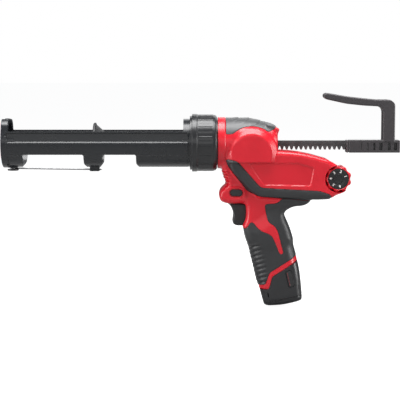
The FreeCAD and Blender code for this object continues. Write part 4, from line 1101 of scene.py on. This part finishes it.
class Stage(bpy.types.Operator):
    """Sets up the pale floor, the soft lights and the camera"""

    bl_idname = "gun.stage"
    bl_label = "Floor, lights and camera"

    def execute(self, context):
        scene = context.scene
        sizes = scene.gun_sizes
        world = bpy.data.worlds.new("Studio")
        scene.world = world
        world.use_nodes = True
        tree = world.node_tree
        seen = tree.nodes["Background"]
        seen.inputs["Color"].default_value = (1.0, 1.0, 1.0, 1)
        around, which = tree.nodes.new("ShaderNodeBackground"), tree.nodes.new("ShaderNodeLightPath")
        either = tree.nodes.new("ShaderNodeMixShader")
        around.inputs["Color"].default_value = (0.93, 0.97, 1.0, 1)
        around.inputs["Strength"].default_value = ROOM_STRENGTH
        link(tree, which.outputs["Is Camera Ray"], either.inputs[0])
        link(tree, around.outputs[0], either.inputs[1])
        link(tree, seen.outputs[0], either.inputs[2])
        link(tree, either.outputs[0], tree.nodes["World Output"].inputs["Surface"])
        scene.view_settings.view_transform = "Standard"
        pale = bpy.data.materials.new("pale_floor")
        pale.use_nodes = True
        ground = pale.node_tree.nodes["Principled BSDF"]
        ground.inputs["Base Color"].default_value = (*[FLOOR_SHADE] * 3, 1)
        ground.inputs["Roughness"].default_value = 1.0
        ground.inputs["Specular IOR Level"].default_value = 0.0
        ground.inputs["Emission Color"].default_value = (1, 1, 1, 1)
        seen_by, glow = pale.node_tree.nodes.new("ShaderNodeLightPath"), pale.node_tree.nodes.new("ShaderNodeMath")
        glow.operation = "MULTIPLY"
        glow.inputs[1].default_value = FLOOR_GLOW
        link(pale.node_tree, seen_by.outputs["Is Camera Ray"], glow.inputs[0])
        link(pale.node_tree, glow.outputs[0], ground.inputs["Emission Strength"])
        floor_height = float(cad_box[0][2]) - FLOOR_GAP
        mesh = bpy.data.meshes.new("floor")
        corners = [(i * FLOOR_REACH, j * FLOOR_REACH) for i, j in ((-1, -1), (1, -1), (1, 1), (-1, 1))]
        mesh.from_pydata([(x, y, floor_height) for x, y in corners], [], [(0, 1, 2, 3)])
        mesh.materials.append(pale)
        floor = bpy.data.objects.new("floor", mesh)
        scene.collection.objects.link(floor)
        for name, place, aim, wide, high, power in LIGHTS:
            lamp = bpy.data.lights.new(name, "AREA")
            lamp.shape = "RECTANGLE"
            lamp.size = wide
            lamp.size_y = high
            lamp.energy = power
            holder = bpy.data.objects.new(name, lamp)
            holder.location = place
            holder.rotation_euler = (Vector(aim) - Vector(place)).to_track_quat("-Z", "Y").to_euler()
            scene.collection.objects.link(holder)
        lens = bpy.data.cameras.new("camera")
        lens.lens = sizes.lens
        camera = bpy.data.objects.new("camera", lens)
        place = Vector((CAMERA_AIM[0], -sizes.camera_distance, sizes.camera_height))
        camera.location = place
        camera.rotation_euler = (Vector(CAMERA_AIM) - place).to_track_quat("-Z", "Y").to_euler()
        scene.collection.objects.link(camera)
        scene.camera = camera
        return {"FINISHED"}


CAMERA_AIM = (0.0081, 0.0, -0.0664)
ROOM_STRENGTH = 0.15
FLOOR_SHADE, FLOOR_GLOW = 0.34, 0.93
FLOOR_GAP, FLOOR_REACH = 0.002, 60.0

# name, place, aim, width, height, power in watts
LIGHTS = (
    ("overhead", (0.0, -0.15, 1.3), (0.0, 0.0, -0.05), 1.5, 0.8, 44.0),
    ("front left", (-1.3, -1.5, 0.9), (0.0, 0.0, -0.05), 0.7, 0.7, 9.0),
    ("front wide", (0.1, -2.3, 0.45), (0.0, 0.0, -0.08), 2.2, 0.6, 7.0),
    ("left side", (-1.7, -0.5, 0.1), (0.05, 0.0, -0.08), 0.6, 1.1, 22.0),
    ("right side", (1.7, -0.4, 0.15), (0.05, 0.0, -0.08), 0.6, 1.1, 22.0),
    ("back rim", (0.3, 1.5, 0.8), (0.0, 0.0, -0.05), 1.4, 0.7, 5.0),
)

PARTS = (Finishes, Housing, Rubber, Carriage, Collar, Pusher, Controls, Battery, Works, Stage)


class GunPanel(bpy.types.Panel):
    """Lists the gun's sizes, colours and the operators that build it"""

    bl_idname = "VIEW3D_PT_caulking_gun"
    bl_label = "Caulking gun"
    bl_space_type = "VIEW_3D"
    bl_region_type = "UI"
    bl_category = "Caulking gun"

    def draw(self, context):
        for group in (context.scene.gun_sizes, context.scene.gun_colours):
            for name in group.__annotations__:
                self.layout.prop(group, name)
        for part in PARTS:
            self.layout.operator(part.bl_idname)


CLASSES = (GunColours, GunSizes, *PARTS, GunPanel)


def register():
    for kind in CLASSES:
        bpy.utils.register_class(kind)
    bpy.types.Scene.gun_colours = bpy.props.PointerProperty(type=GunColours)
    bpy.types.Scene.gun_sizes = bpy.props.PointerProperty(type=GunSizes)


def unregister():
    del bpy.types.Scene.gun_sizes
    del bpy.types.Scene.gun_colours
    for kind in reversed(CLASSES):
        bpy.utils.unregister_class(kind)


def main():
    register()
    bpy.ops.gun.finishes()
    bpy.ops.gun.stage()
    bpy.ops.gun.housing()
    bpy.ops.gun.rubber()
    bpy.ops.gun.carriage()
    bpy.ops.gun.collar()
    bpy.ops.gun.pusher()
    bpy.ops.gun.controls()
    bpy.ops.gun.battery()
    bpy.ops.gun.works()


if __name__ == "__main__":
    main()
